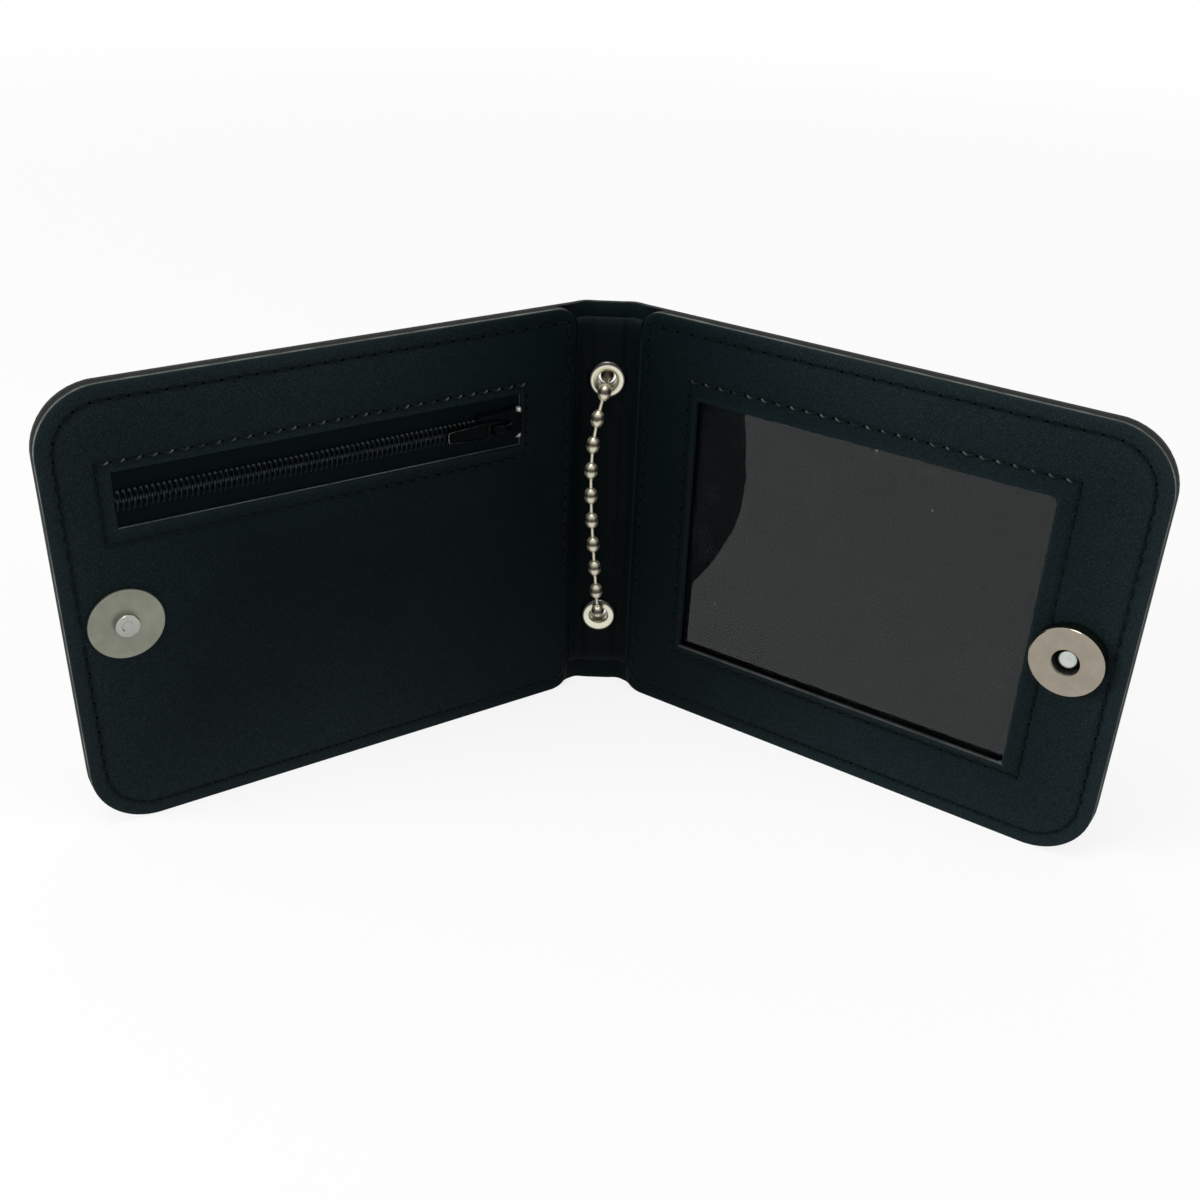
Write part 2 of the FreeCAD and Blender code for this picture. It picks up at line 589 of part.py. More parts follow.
def neck_chain():
    """The rest of the neck chain: from the upper eyelet to the coil, then by the clasp to the lower one."""
    coil_start, coil_end = chain_coil()
    upper = [vec(0, CHAIN_BEHIND, UPPER_EYELET_Z), vec(0, 9.2, 72.3), vec(0.3, 14.6, 67.3),
             vec(1.0, 16.6, 60.2), vec(3.2, 17.2, 48.5), vec(6.6, 17.8, 36.0), vec(11.5, 19.0, 24.5),
             vec(17.6, 21.8, 14.2), vec(23.6, 26.6, 6.4), vec(coil_start.x, 34.0, coil_start.z), coil_start]
    edges, radii = route(upper)
    export("chain_upper_run", [tube("chain_upper_run", edges, BEAD_DIAMETER)])
    print("chain_upper_run radii", radii)
    clasp_end = chain_clasp(coil_end)
    lower = [clasp_end, clasp_end + vec(0, -7.5, 0), vec(-10.0, 22.1, 8.0), vec(-3.2, 17.3, 14.2),
             vec(0, 10.6, LOWER_EYELET_Z), vec(0, CHAIN_BEHIND, LOWER_EYELET_Z)]
    edges, radii = route(lower)
    export("chain_lower_run", [tube("chain_lower_run", edges, BEAD_DIAMETER)])
    print("chain_lower_run radii", radii)


os.makedirs("parts", exist_ok=True)
spine_strip()
export("upper_eyelet", [eyelet(UPPER_EYELET_Z)])
export("lower_eyelet", [eyelet(LOWER_EYELET_Z)])
export("upper_eyelet_washer", [eyelet_washer(UPPER_EYELET_Z)])
export("lower_eyelet_washer", [eyelet_washer(LOWER_EYELET_Z)])
left_cover()
right_cover()
chain_span()
neck_chain()
print("fold axes at x", round(SPINE_PITCH / 2, 3), "y", round(FOLD_AXIS_Y, 3))
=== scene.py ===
import math

import bmesh
import bpy
import numpy as np
from mathutils import Matrix, Vector


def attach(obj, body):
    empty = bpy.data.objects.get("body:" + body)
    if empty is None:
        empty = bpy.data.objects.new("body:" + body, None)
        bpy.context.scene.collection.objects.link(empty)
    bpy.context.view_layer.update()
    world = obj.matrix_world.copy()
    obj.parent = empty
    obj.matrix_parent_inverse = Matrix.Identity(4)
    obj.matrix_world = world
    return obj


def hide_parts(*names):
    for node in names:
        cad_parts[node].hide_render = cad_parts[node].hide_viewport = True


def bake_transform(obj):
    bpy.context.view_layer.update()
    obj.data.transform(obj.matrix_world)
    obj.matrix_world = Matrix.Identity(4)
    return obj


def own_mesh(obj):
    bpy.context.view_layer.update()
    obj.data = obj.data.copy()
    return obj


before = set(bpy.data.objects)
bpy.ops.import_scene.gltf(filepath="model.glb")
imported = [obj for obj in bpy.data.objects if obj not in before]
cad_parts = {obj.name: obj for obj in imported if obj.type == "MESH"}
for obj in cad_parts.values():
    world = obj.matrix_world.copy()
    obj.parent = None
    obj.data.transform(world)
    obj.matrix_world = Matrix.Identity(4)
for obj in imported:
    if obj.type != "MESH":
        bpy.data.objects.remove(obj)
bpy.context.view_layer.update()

# Outer leather
# One black grained hide, 1.4 mm thick, makes both backs and the spine between them.
# It is cut round at the free corners, creased beside the spine and sewn to the inner leaves near its edge.
MM = 0.001
LEFT = -1
RIGHT = 1
COVER_BODY = {LEFT: "left_cover", RIGHT: "right_cover"}
COVER_NAME = {LEFT: "left", RIGHT: "right"}
COVER_WIDTH = 109.0 * MM
COVER_HEIGHT = 88.9 * MM
CORNER = 12.0 * MM
HIDE_HALF = 0.7 * MM
SPINE_HALF = 5.05 * MM
FOLD_Y = 30.347 * MM
FOLD_IN = math.radians(33.2)
CREASE = 2.6 * MM
SEAM_INSET = 2.9 * MM
SEAM_AT_SPINE = 5.4 * MM
EYELET_HEIGHTS = (72.9 * MM, 17.2 * MM)
EYELET_NOTCH = 2.3 * MM
NO_START = -1.0
HAIR = 1e-9
CLOSE_LINES = 3
CLOSE_STEP = 0.4 * MM
LEAST_GAP = 0.15 * MM
SQUEEZED = 4 * MM
HIDE_GRID = 2.4 * MM
HIDE_DRAW = 0.16 * MM
HIDE_DRAW_WIDTH = 0.75 * MM
HIDE_ARRIS = 0.4 * MM
HIDE_SLACK = 0.03 * MM
HIDE_RIM = 0.7 * MM
# Painted light: a flat lift on the hide's outer side.
OUTSIDE_PAINTED_LIGHT = 0.4
# Painted sheen: it fades in from the free edges and away from the spine.
PAINTED_SHEEN_EDGE = 22 * MM
PAINTED_SHEEN_FROM_SPINE = 60 * MM


class Tone:
    """A socket of a finish: sums, products and comparisons of tones add Math nodes."""

    def __init__(self, finish, socket):
        self.finish = finish
        self.socket = socket

    def math(self, operation, first, second=0.0, third=0.0):
        return self.finish.node("ShaderNodeMath", {"operation": operation}, {0: first, 1: second, 2: third})

    def __add__(self, other):
        return self.math("ADD", self, other)

    def __sub__(self, other):
        return self.math("SUBTRACT", self, other)

    def __rsub__(self, other):
        return self.math("SUBTRACT", other, self)

    def __mul__(self, other):
        return self.math("MULTIPLY", self, other)

    def __gt__(self, other):
        return self.math("GREATER_THAN", self, other)

    __radd__ = __add__
    __rmul__ = __mul__


class Finish:
    """One procedural material or world. node() adds any node: its settings, then its sockets' values or links."""

    def __init__(self, name, store=None):
        self.material = (bpy.data.materials if store is None else store).new(name)
        self.material.use_nodes = True
        self.tree = self.material.node_tree
        self.tree.nodes.clear()

    def node(self, kind, settings=None, sockets=None, out=0):
        made = self.tree.nodes.new(kind)
        for key, value in (settings or {}).items():
            setattr(made, key, value)
        for key, value in (sockets or {}).items():
            if isinstance(value, Tone):
                self.tree.links.new(value.socket, made.inputs[key])
            else:
                made.inputs[key].default_value = value
        return Tone(self, made.outputs[out]) if made.outputs else None

    def attribute(self, name, out=2):
        return self.node("ShaderNodeAttribute", {"attribute_name": name}, out=out)

    def noise(self, place, scale, detail=2.0, roughness=0.5):
        sockets = {"Vector": place, "Scale": scale, "Detail": detail, "Roughness": roughness}
        return self.node("ShaderNodeTexNoise", None, sockets)

    def range(self, value, low, high, to_low=0.0, to_high=1.0):
        return self.node("ShaderNodeMapRange", None, {0: value, 1: low, 2: high, 3: to_low, 4: to_high})

    def mix(self, share, first, second):
        return self.node("ShaderNodeMix", {"data_type": "RGBA"}, {0: share, 6: first, 7: second}, out=2)

    def bump(self, height, depth, strength):
        return self.node("ShaderNodeBump", None, {"Strength": strength, "Distance": depth, "Height": height})

    def surface(self, sockets):
        return self.output(self.node("ShaderNodeBsdfPrincipled", None, sockets))

    def output(self, shader):
        self.node("ShaderNodeOutputMaterial", None, {"Surface": shader})
        return self.material


def leather_finish(name, dark, light, sheen, wear_and_painted_highlight=0.35):
    """Grained leather: small pebbles with creases between them, paler where edges rub it, and lighter by a painted
    sheen that a mesh attribute sets.
    """
    skin = Finish(name)
    place = skin.attribute("flat", out=1)
    drift = skin.node("ShaderNodeTexNoise", None, {"Vector": place, "Scale": 900.0, "Detail": 1.0}, out=1)
    shifted = skin.node("ShaderNodeVectorMath", {"operation": "MULTIPLY_ADD"},
                        {0: drift, 1: (0.0005, 0.0005, 0.0005), 2: place})
    pebbles = skin.node("ShaderNodeTexVoronoi", {"feature": "DISTANCE_TO_EDGE"}, {"Vector": shifted, "Scale": 1900.0})
    crowns = skin.range(pebbles, 0.0, 0.32)
    pores = skin.noise(place, 4200.0, 3.0, 0.6)
    cloud = skin.noise(place, 55.0, 3.0, 0.6)
    relief = crowns * 0.65 + pores * 0.35
    # Painted light: the mesh attribute adds a painted sheen, and painted shade in the seams' grooves, to the leather's
    # tone.
    even = 0.07 + 0.12 * skin.range(cloud, 0.35, 0.7) + 0.74 * skin.attribute("painted_light")
    tone = even * (0.2 + 1.5 * relief) + wear_and_painted_highlight * skin.attribute("rim")
    return skin.surface({
        "Base Color": skin.mix(tone, dark, light),
        "Roughness": 0.5 + 0.14 * cloud - 0.08 * crowns + 0.1 * pores,
        "Specular IOR Level": sheen,
        "Normal": skin.bump(relief, 0.00009, 0.7),
    })


def raw_edge_finish(name, fibre):
    """Cut edge of the inner leaf: pale packed fibres under the face, and the dark turned-in filler behind them."""
    edge = Finish(name)
    place = edge.attribute("flat", out=1)
    fibres = edge.noise(place, 1500.0, 4.0, 0.65)
    patches = edge.noise(place, 160.0, 2.0)
    depth = edge.node("ShaderNodeSeparateXYZ", None, {0: place}, out=2)
    pale = edge.range(depth + 0.0006 * (patches - 0.5), 0.00195, 0.00215)
    tone = pale * edge.range(fibres * 0.6 + patches * 0.6, 0.38, 0.8, 0.15, 1.0)
    return edge.surface({
        "Base Color": edge.mix(tone, (0.006, 0.0065, 0.0065, 1), fibre),
        "Roughness": 0.78 + 0.15 * fibres,
        "Specular IOR Level": 0.25,
        "Normal": edge.bump(fibres, 0.00012, 0.7),
    })


def placed(side, flat, bends=False):
    """Points in the wallet's frame of flat ones (out from the fold, up, inward), with the cover half open."""
    out, up, inward = np.asarray(flat, float).T
    angle = FOLD_IN * (eased(out, -CREASE, CREASE) if bends else np.ones(len(out)))
    x = SPINE_HALF + out * np.cos(angle) - inward * np.sin(angle)
    y = FOLD_Y - out * np.sin(angle) - inward * np.cos(angle)
    return np.stack([side * x, y, up], 1)


def piece(name, points, faces, finishes, kinds=None, flat=None, rim=None, painted_light=None, crisp=38.0):
    """A mesh object with faces turned outwards, smooth shading up to the crisp angle, and what its finish reads."""
    mesh = bpy.data.meshes.new(name)
    mesh.from_pydata([tuple(map(float, p)) for p in points], [], [tuple(map(int, f)) for f in faces])
    if kinds is not None:
        mesh.polygons.foreach_set("material_index", np.asarray(kinds, np.int32))
    work = bmesh.new()
    work.from_mesh(mesh)
    bmesh.ops.recalc_face_normals(work, faces=work.faces)
    work.to_mesh(mesh)
    work.free()
    mesh.polygons.foreach_set("use_smooth", np.ones(len(mesh.polygons), bool))
    mesh.set_sharp_from_angle(angle=math.radians(crisp))
    stored = mesh.attributes.new("flat", "FLOAT_VECTOR", "POINT")
    stored.data.foreach_set("vector", np.asarray(points if flat is None else flat, np.float32).ravel())
    for key, values in (("rim", rim), ("painted_light", painted_light)):
        if values is not None:
            mesh.attributes.new(key, "FLOAT", "POINT").data.foreach_set("value", np.asarray(values, np.float32))
    for finish in finishes:
        mesh.materials.append(finish)
    made = bpy.data.objects.new(name, mesh)
    bpy.context.scene.collection.objects.link(made)
    return made


def grid_lines(low, high, wanted, close, step):
    """Grid lines from low to high: the wanted ones, a few packed round each close one, and no gap over step."""
    kept = sorted({low, high, *wanted})
    for middle in close:
        for k in range(-CLOSE_LINES, CLOSE_LINES + 1):
            line = middle + k * CLOSE_STEP
            if low < line < high and min(abs(line - other) for other in kept) > LEAST_GAP:
                kept.append(line)
    kept.sort()
    lines = []
    for first, second in zip(kept, kept[1:]):
        count = max(1, math.ceil((second - first) / step - 1e-6))
        lines += [first + (second - first) * i / count for i in range(count)]
    return np.array(lines + [high])


def corner_rows():
    """Heights that follow the round free corners, packed where the edge is nearly level."""
    rows = [CORNER * (1 - math.cos(math.radians(angle))) for angle in range(0, 91, 7)]
    return rows + [COVER_HEIGHT - row for row in rows]


def rim_distance(out, up, start, start_corner=0.0):
    """Distance of points in a cover from its cut outline."""
    over = np.maximum(out - (COVER_WIDTH - CORNER), 0)
    past = np.maximum(np.abs(up - COVER_HEIGHT / 2) - (COVER_HEIGHT / 2 - CORNER), 0)
    straight = np.minimum(COVER_WIDTH - out, np.minimum(up, COVER_HEIGHT - up))
    free = np.where((over > 0) & (past > 0), CORNER - np.hypot(over, past), straight)
    under = np.maximum(start + start_corner - out, 0)
    beyond = np.maximum(np.abs(up - COVER_HEIGHT / 2) - (COVER_HEIGHT / 2 - start_corner), 0)
    near = np.where((under > 0) & (beyond > 0), start_corner - np.hypot(under, beyond), out - start)
    return np.maximum(np.minimum(free, near), 0)


def eased(value, low, high):
    """Nought below low, one above high, and a smooth rise between them."""
    share = np.clip((value - low) / (high - low), 0, 1)
    return share * share * (3 - 2 * share)


def painted_sheen_share(out, up):
    """Share of painted sheen at a place on a cover: most near its free edges, least beside the spine."""
    return np.exp(-rim_distance(out, up, NO_START) / PAINTED_SHEEN_EDGE) * eased(out, 0.0, PAINTED_SHEEN_FROM_SPINE)


def round_hole(out, height, end, low, high, corner):
    """Moves the grid's points at the two far corners of a hole on to their arcs."""
    middle = (low + high) / 2
    half = (high - low) / 2
    within = (out <= end + HAIR) & (height > low - HAIR) & (height < high + HAIR)
    for row, column in np.argwhere(within & (out > end - corner) & (np.abs(height - middle) > half - corner)):
        away = 1 if height[row, column] > middle else -1
        far = out[row, column] - (end - corner)
        tall = abs(height[row, column] - middle) - (half - corner)
        if max(far, tall) < corner - HAIR:
            continue
        angle = math.radians(45 * tall / corner if far >= corner - HAIR else 90 - 45 * far / corner)
        out[row, column] = end - corner + corner * math.cos(angle)
        height[row, column] = middle + away * (half - corner + corner * math.sin(angle))


def leaf(across, up, front, back, holes=(), start_corner=0.0):
    """Closed leather sheet on grid lines, with round free corners and holes: flat points, faces and their kinds."""
    rise = np.minimum(up, COVER_HEIGHT - up)
    reach = COVER_WIDTH - CORNER + np.sqrt(np.maximum(CORNER ** 2 - np.maximum(CORNER - rise, 0) ** 2, 0))
    pivot = COVER_WIDTH - CORNER - SQUEEZED
    squeezed = pivot + (across[None, :] - pivot) * (reach[:, None] - pivot) / (COVER_WIDTH - pivot)
    out = np.where(across[None, :] > pivot, squeezed, across[None, :])
    if start_corner:
        cut = start_corner - np.sqrt(np.maximum(start_corner ** 2 - np.maximum(start_corner - rise, 0) ** 2, 0))
        hinge = across[0] + 2 * start_corner
        pulled = hinge - (hinge - out) * (1 - cut[:, None] / (2 * start_corner))
        out = np.where(out < hinge, pulled, out)
    height = np.repeat(up[:, None], len(across), 1)
    middle_out = (out[:-1, :-1] + out[1:, 1:]) / 2
    middle_up = (height[:-1, :-1] + height[1:, 1:]) / 2
    kept = np.ones(middle_out.shape, bool)
    for start, end, low, high, corner in holes:
        kept &= ~((middle_out > start) & (middle_out < end) & (middle_up > low) & (middle_up < high))
        round_hole(out, height, end, low, high, corner)
    used = np.zeros(out.shape, bool)
    for shift_up in (0, 1):
        for shift_out in (0, 1):
            used[shift_up:shift_up + kept.shape[0], shift_out:shift_out + kept.shape[1]] |= kept
    number = np.full(out.shape, -1)
    number[used] = np.arange(used.sum())
    flat_out = out[used]
    flat_up = height[used]
    total = len(flat_out)
    flat = np.concatenate([np.stack([flat_out, flat_up, front(flat_out, flat_up)], 1),
                           np.stack([flat_out, flat_up, back(flat_out, flat_up)], 1)])
    faces = []
    kinds = []
    sides = (((0, 0), (0, 1), (-1, 0)), ((0, 1), (1, 1), (0, 1)), ((1, 1), (1, 0), (1, 0)), ((1, 0), (0, 0), (0, -1)))
    for row, column in np.argwhere(kept):
        corners = [number[row + a, column + b] for a, b in ((0, 0), (0, 1), (1, 1), (1, 0))]
        faces.append(corners)
        faces.append([total + corner for corner in reversed(corners)])
        kinds += [0, 0]
        for first, second, (down, along) in sides:
            beside = (row + down, column + along)
            inside = 0 <= beside[0] < kept.shape[0] and 0 <= beside[1] < kept.shape[1]
            if not (inside and kept[beside]):
                a = number[row + first[0], column + first[1]]
                b = number[row + second[0], column + second[1]]
                faces.append([b, a, a + total, b + total])
                kinds.append(1)
    return flat, faces, kinds


def seam_groove(out, up, seams, depth, width):
    """How far the thread draws the leather in, near the seams' paths."""
    nearest = np.full(len(out), 1.0)
    for seam in seams:
        for first, second in zip(seam, seam[1:]):
            along = np.subtract(second, first)
            share = ((out - first[0]) * along[0] + (up - first[1]) * along[1]) / max(along @ along, 1e-12)
            share = np.clip(share, 0, 1)
            gap = np.hypot(out - first[0] - share * along[0], up - first[1] - share * along[1])
            nearest = np.minimum(nearest, gap)
    return depth * np.exp(-(nearest / width) ** 2)


def edge_seam():
    """Needle path round the three open sides of a cover, and the straight one beside the spine."""
    radius = CORNER - SEAM_INSET
    low = SEAM_INSET
    high = COVER_HEIGHT - SEAM_INSET
    middle = COVER_WIDTH - CORNER
    turns = np.radians(range(0, 91, 9))
    path = [(SEAM_AT_SPINE, low)]
    path += [(middle + radius * math.sin(a), CORNER - radius * math.cos(a)) for a in turns]
    path += [(middle + radius * math.cos(a), COVER_HEIGHT - CORNER + radius * math.sin(a)) for a in turns]
    path.append((SEAM_AT_SPINE, high))
    return [path, [(SEAM_AT_SPINE, high), (SEAM_AT_SPINE, low)]]


def softened(distance, radius):
    """Drop of a rounded edge at a distance in from it."""
    share = np.clip(1 - distance / radius, 0, 1)
    return radius * (1 - np.sqrt(1 - share ** 2))


def slack(out, up):
    """Slight unevenness of soft leather lying flat."""
    return (np.sin(out * 61 + up * 23) + np.sin(out * 37 - up * 71 + 1.3) + np.sin(up * 118 + out * 12)) / 3


leather = leather_finish("black_leather", (0.0006, 0.0029, 0.0034, 1), (0.0108, 0.0184, 0.0206, 1), 0.035)
raw_edge = raw_edge_finish("raw_leather_edge", (0.152, 0.168, 0.148, 1))
# Painted highlight: a paler raw-edge tone for the arris below the window, where light from above falls.
sill_painted_highlight = raw_edge_finish("window_sill_painted_highlight", (0.07, 0.076, 0.071, 1))
dyed_edge = leather_finish("dyed_leather_edge", (0.0016, 0.0021, 0.0023, 1), (0.011, 0.0118, 0.0122, 1), 0.1)
cover_seams = edge_seam()
spine_rows = [height + way * EYELET_NOTCH for height in EYELET_HEIGHTS for way in (-1, 1)]
hide_across = grid_lines(-SPINE_HALF, COVER_WIDTH,
                         [-SPINE_HALF + EYELET_NOTCH, -CREASE, 0.0, CREASE, COVER_WIDTH - 0.12 * MM,
                          COVER_WIDTH - 0.4 * MM],
                         [SEAM_AT_SPINE, COVER_WIDTH - SEAM_INSET, -CREASE / 2, CREASE / 2], HIDE_GRID)
hide_up = grid_lines(0.0, COVER_HEIGHT,
                     corner_rows() + spine_rows + [0.35 * MM, COVER_HEIGHT - 0.35 * MM],
                     [SEAM_INSET, COVER_HEIGHT - SEAM_INSET], HIDE_GRID)
hide_holes = [(NO_START, -SPINE_HALF + EYELET_NOTCH, height - EYELET_NOTCH, height + EYELET_NOTCH, 0.0)
              for height in EYELET_HEIGHTS]


def hide_back(out, up):
    """Level of the hide's grain side: rounded at its edge and drawn in along the seams."""
    edge = rim_distance(out, up, NO_START)
    drawn = seam_groove(out, up, cover_seams, HIDE_DRAW, HIDE_DRAW_WIDTH)
    return -HIDE_HALF + softened(edge, HIDE_ARRIS) + drawn + HIDE_SLACK * slack(out, up)


def hide_front(out, up):
    """Level of the hide's flat inner side."""
    return np.full(len(out), HIDE_HALF)


def bend_at_fold(made, side):
    """Bakes a piece's placing into its mesh."""
    start = (side * (SPINE_HALF - CREASE), FOLD_Y, COVER_HEIGHT / 2)
    end = placed(side, [(CREASE, COVER_HEIGHT / 2, 0.0)])[0]
    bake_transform(made)


for side in (LEFT, RIGHT):
    flat, faces, kinds = leaf(hide_across, hide_up, hide_front, hide_back, hide_holes)
    rim = np.exp(-rim_distance(flat[:, 0], flat[:, 1], NO_START) / HIDE_RIM)
    # Painted light: the outer side gets a flat painted lift, and both sides a painted sheen towards the free edges.
    wear_and_painted_light = np.where(flat[:, 2] < 0, OUTSIDE_PAINTED_LIGHT, 0.0) + painted_sheen_share(flat[:, 0], flat[:, 1])
    hide = piece(COVER_NAME[side] + "_hide", placed(side, flat, bends=True), faces, [leather, dyed_edge], kinds,
                 flat, rim, np.minimum(wear_and_painted_light, 1.0))
    bend_at_fold(hide, side)
    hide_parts(COVER_NAME[side] + "_outer_leather", "spine_outer_leather")

# Spine lining
# A strip of thin soft leather, slightly warmer in colour, glued inside the spine and out under both inner leaves.
# It stops short of the hide at both ends, with a turned hem, and is pierced with the hide for the eyelets.
LINING_BACK = 0.7 * MM
LINING_THICK = 0.8 * MM
LINING_LOW = 5.0 * MM
LINING_HIGH = 85.9 * MM
LINING_REACH = 2.7 * MM
LINING_HEM = 0.35 * MM
LINING_FOLD = 0.16 * MM
LINING_RIDGE = 0.12 * MM
LINING_RIM = 0.55 * MM

spine_leather = leather_finish("spine_lining_leather", (0.0007, 0.0024, 0.0028, 1), (0.0112, 0.0165, 0.0182, 1),
                               0.035, 1.0)
strip_across = grid_lines(-SPINE_HALF, LINING_REACH, [-SPINE_HALF + EYELET_NOTCH, -CREASE, 0.0, CREASE],
                          [-CREASE / 2, CREASE / 2], 0.5 * MM)
strip_up = grid_lines(LINING_LOW, LINING_HIGH, spine_rows + [LINING_LOW + d * MM for d in (0.15, 0.5)]
                      + [LINING_HIGH - d * MM for d in (0.15, 0.5)], [], 1.2 * MM)


def strip_front(out, up):
    """Level of the lining's shown side: a crease and a soft ridge along each fold, and a hem at both ends."""
    ends = np.minimum(up - LINING_LOW, LINING_HIGH - up)
    folds = LINING_FOLD * np.exp(-((out + 1.4 * MM) / (0.5 * MM)) ** 2)
    ridge = LINING_RIDGE * np.exp(-((out + 2.6 * MM) / (0.7 * MM)) ** 2)
    level = LINING_BACK + LINING_THICK - softened(ends, LINING_HEM)
    return level - folds + ridge + HIDE_SLACK * slack(out * 3, up)


def strip_back(out, up):
    """Level of the lining's glued side."""
    return np.full(len(out), LINING_BACK + 0.01 * MM)


for side in (LEFT, RIGHT):
    flat, faces, kinds = leaf(strip_across, strip_up, strip_front, strip_back, hide_holes)
    rim = np.exp(-np.minimum(flat[:, 1] - LINING_LOW, LINING_HIGH - flat[:, 1]) / LINING_RIM)
    strip = piece(COVER_NAME[side] + "_spine_lining", placed(side, flat, bends=True), faces,
                  [spine_leather, spine_leather], kinds, flat, rim)
    bend_at_fold(strip, side)
    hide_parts("spine_liner")

# Pocket linings
# Thin black polyester taffeta glued flat on the hide, the back wall of the coin pocket and of the card pocket.
# They show as a line in the sewn edge and, on the right, dimly through the window.


def cover_place(finish, side):
    """How far out along a cover a point of one of its solids lies, how far up, and the point itself."""
    place = finish.node("ShaderNodeTexCoord", out=3)
    heading = (side * math.cos(FOLD_IN), -math.sin(FOLD_IN), 0.0)
    out = finish.node("ShaderNodeVectorMath", {"operation": "DOT_PRODUCT"}, {0: place, 1: heading}, out=1)
    up = finish.node("ShaderNodeSeparateXYZ", None, {0: place}, out=2)
    return out, up, place


def woven_finish(name, side, dark, light, pitch, depth, roughness):
    """Plain weave: threads that go over and under each other, each way at the same pitch."""
    cloth = Finish(name)
    out, up, place = cover_place(cloth, side)
    turn = 2 * math.pi / pitch
    warp = cloth.node("ShaderNodeMath", {"operation": "SINE"}, {0: out * turn})
    weft = cloth.node("ShaderNodeMath", {"operation": "SINE"}, {0: up * turn})
    over = warp * weft
    fuzz = cloth.noise(place, 3000.0, 2.0)
    height = 0.5 + 0.4 * over + 0.25 * (fuzz - 0.5)
    return cloth.surface({
        "Base Color": cloth.mix(height, dark, light),
        "Roughness": roughness + 0.12 * fuzz,
        "Specular IOR Level": 0.035,
        "Normal": cloth.bump(height, depth, 0.8),
    })


def dress(node, finish):
    """Gives a solid of the frame its finish in place of the plain one."""
    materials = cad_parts[node].data.materials
    materials.clear()
    materials.append(finish)
    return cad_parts[node]


for side, node in ((LEFT, "coin_pocket_lining"), (RIGHT, "card_pocket_lining")):
    taffeta = woven_finish(COVER_NAME[side] + "_taffeta", side, (0.0012, 0.0021, 0.0026, 1),
                           (0.0046, 0.0066, 0.0076, 1), 0.45 * MM, 0.00004, 0.55)
    dress(node, taffeta)

# Inner leaves
# Two pieces of the same leather, cut raw all round: the left one with the zip's slot, the right one with the window.
# Each is sewn through the hide along its edge, and again round its opening to hold the zip or the vinyl behind it.
LEAF_START = 3.0 * MM
LINING_FACE = 0.95 * MM
LEAF_BACK = 2.15 * MM
LEAF_FACE = 3.0 * MM
SEWN_BORDER = 5.0 * MM
LEAF_CORNER = 5.0 * MM
LIP = 0.4 * MM
LIP_RIDGE = 0.12 * MM
SKIVE = 2.0 * MM
SKIVE_DROP = 1.0 * MM
SLOT = (16.4 * MM, 97.1 * MM, 61.9 * MM, 72.7 * MM, 0.0)
WINDOW = (17.3 * MM, 90.3 * MM, 16.0 * MM, 72.7 * MM, 1.0 * MM)
SNAP_OUT = 98.4 * MM
SNAP_UP = 43.5 * MM
SLOT_MARGINS = (1.4 * MM, 2.6 * MM, 2.7 * MM, 2.0 * MM)
SEAM_BEFORE = 2.0 * MM
SEAM_AFTER = 3.5 * MM
SEAM_BELOW = 1.9 * MM
SEAM_ABOVE = 3.9 * MM
LEAF_GRID = 2.2 * MM
LEAF_DRAW = 0.14 * MM
LEAF_DRAW_WIDTH = 0.6 * MM
LEAF_ARRIS = 0.3 * MM
LEAF_SLACK = 0.035 * MM
LEAF_RIM = 0.5 * MM
POCKET_STEP = 0.6 * MM
SILL = 0.15 * MM
GROOVE_SHADE = 0.45
GROOVE_SHADE_WIDTH = 0.55 * MM


def box_seam(opening, before, after, below, above):
    """Four straight needle paths round an opening, at set distances outside its sides."""
    start, end, low, high = opening[0] - before, opening[1] + after, opening[2] - below, opening[3] + above
    corners = [(start, high), (end, high), (end, low), (start, low), (start, high)]
    return [list(pair) for pair in zip(corners, corners[1:])]


def opening_distance(out, up, opening):
    """Distance of points outside a rectangular opening from its edge."""
    aside = np.maximum(np.maximum(opening[0] - out, out - opening[1]), 0)
    above = np.maximum(np.maximum(opening[2] - up, up - opening[3]), 0)
    return np.hypot(aside, above)


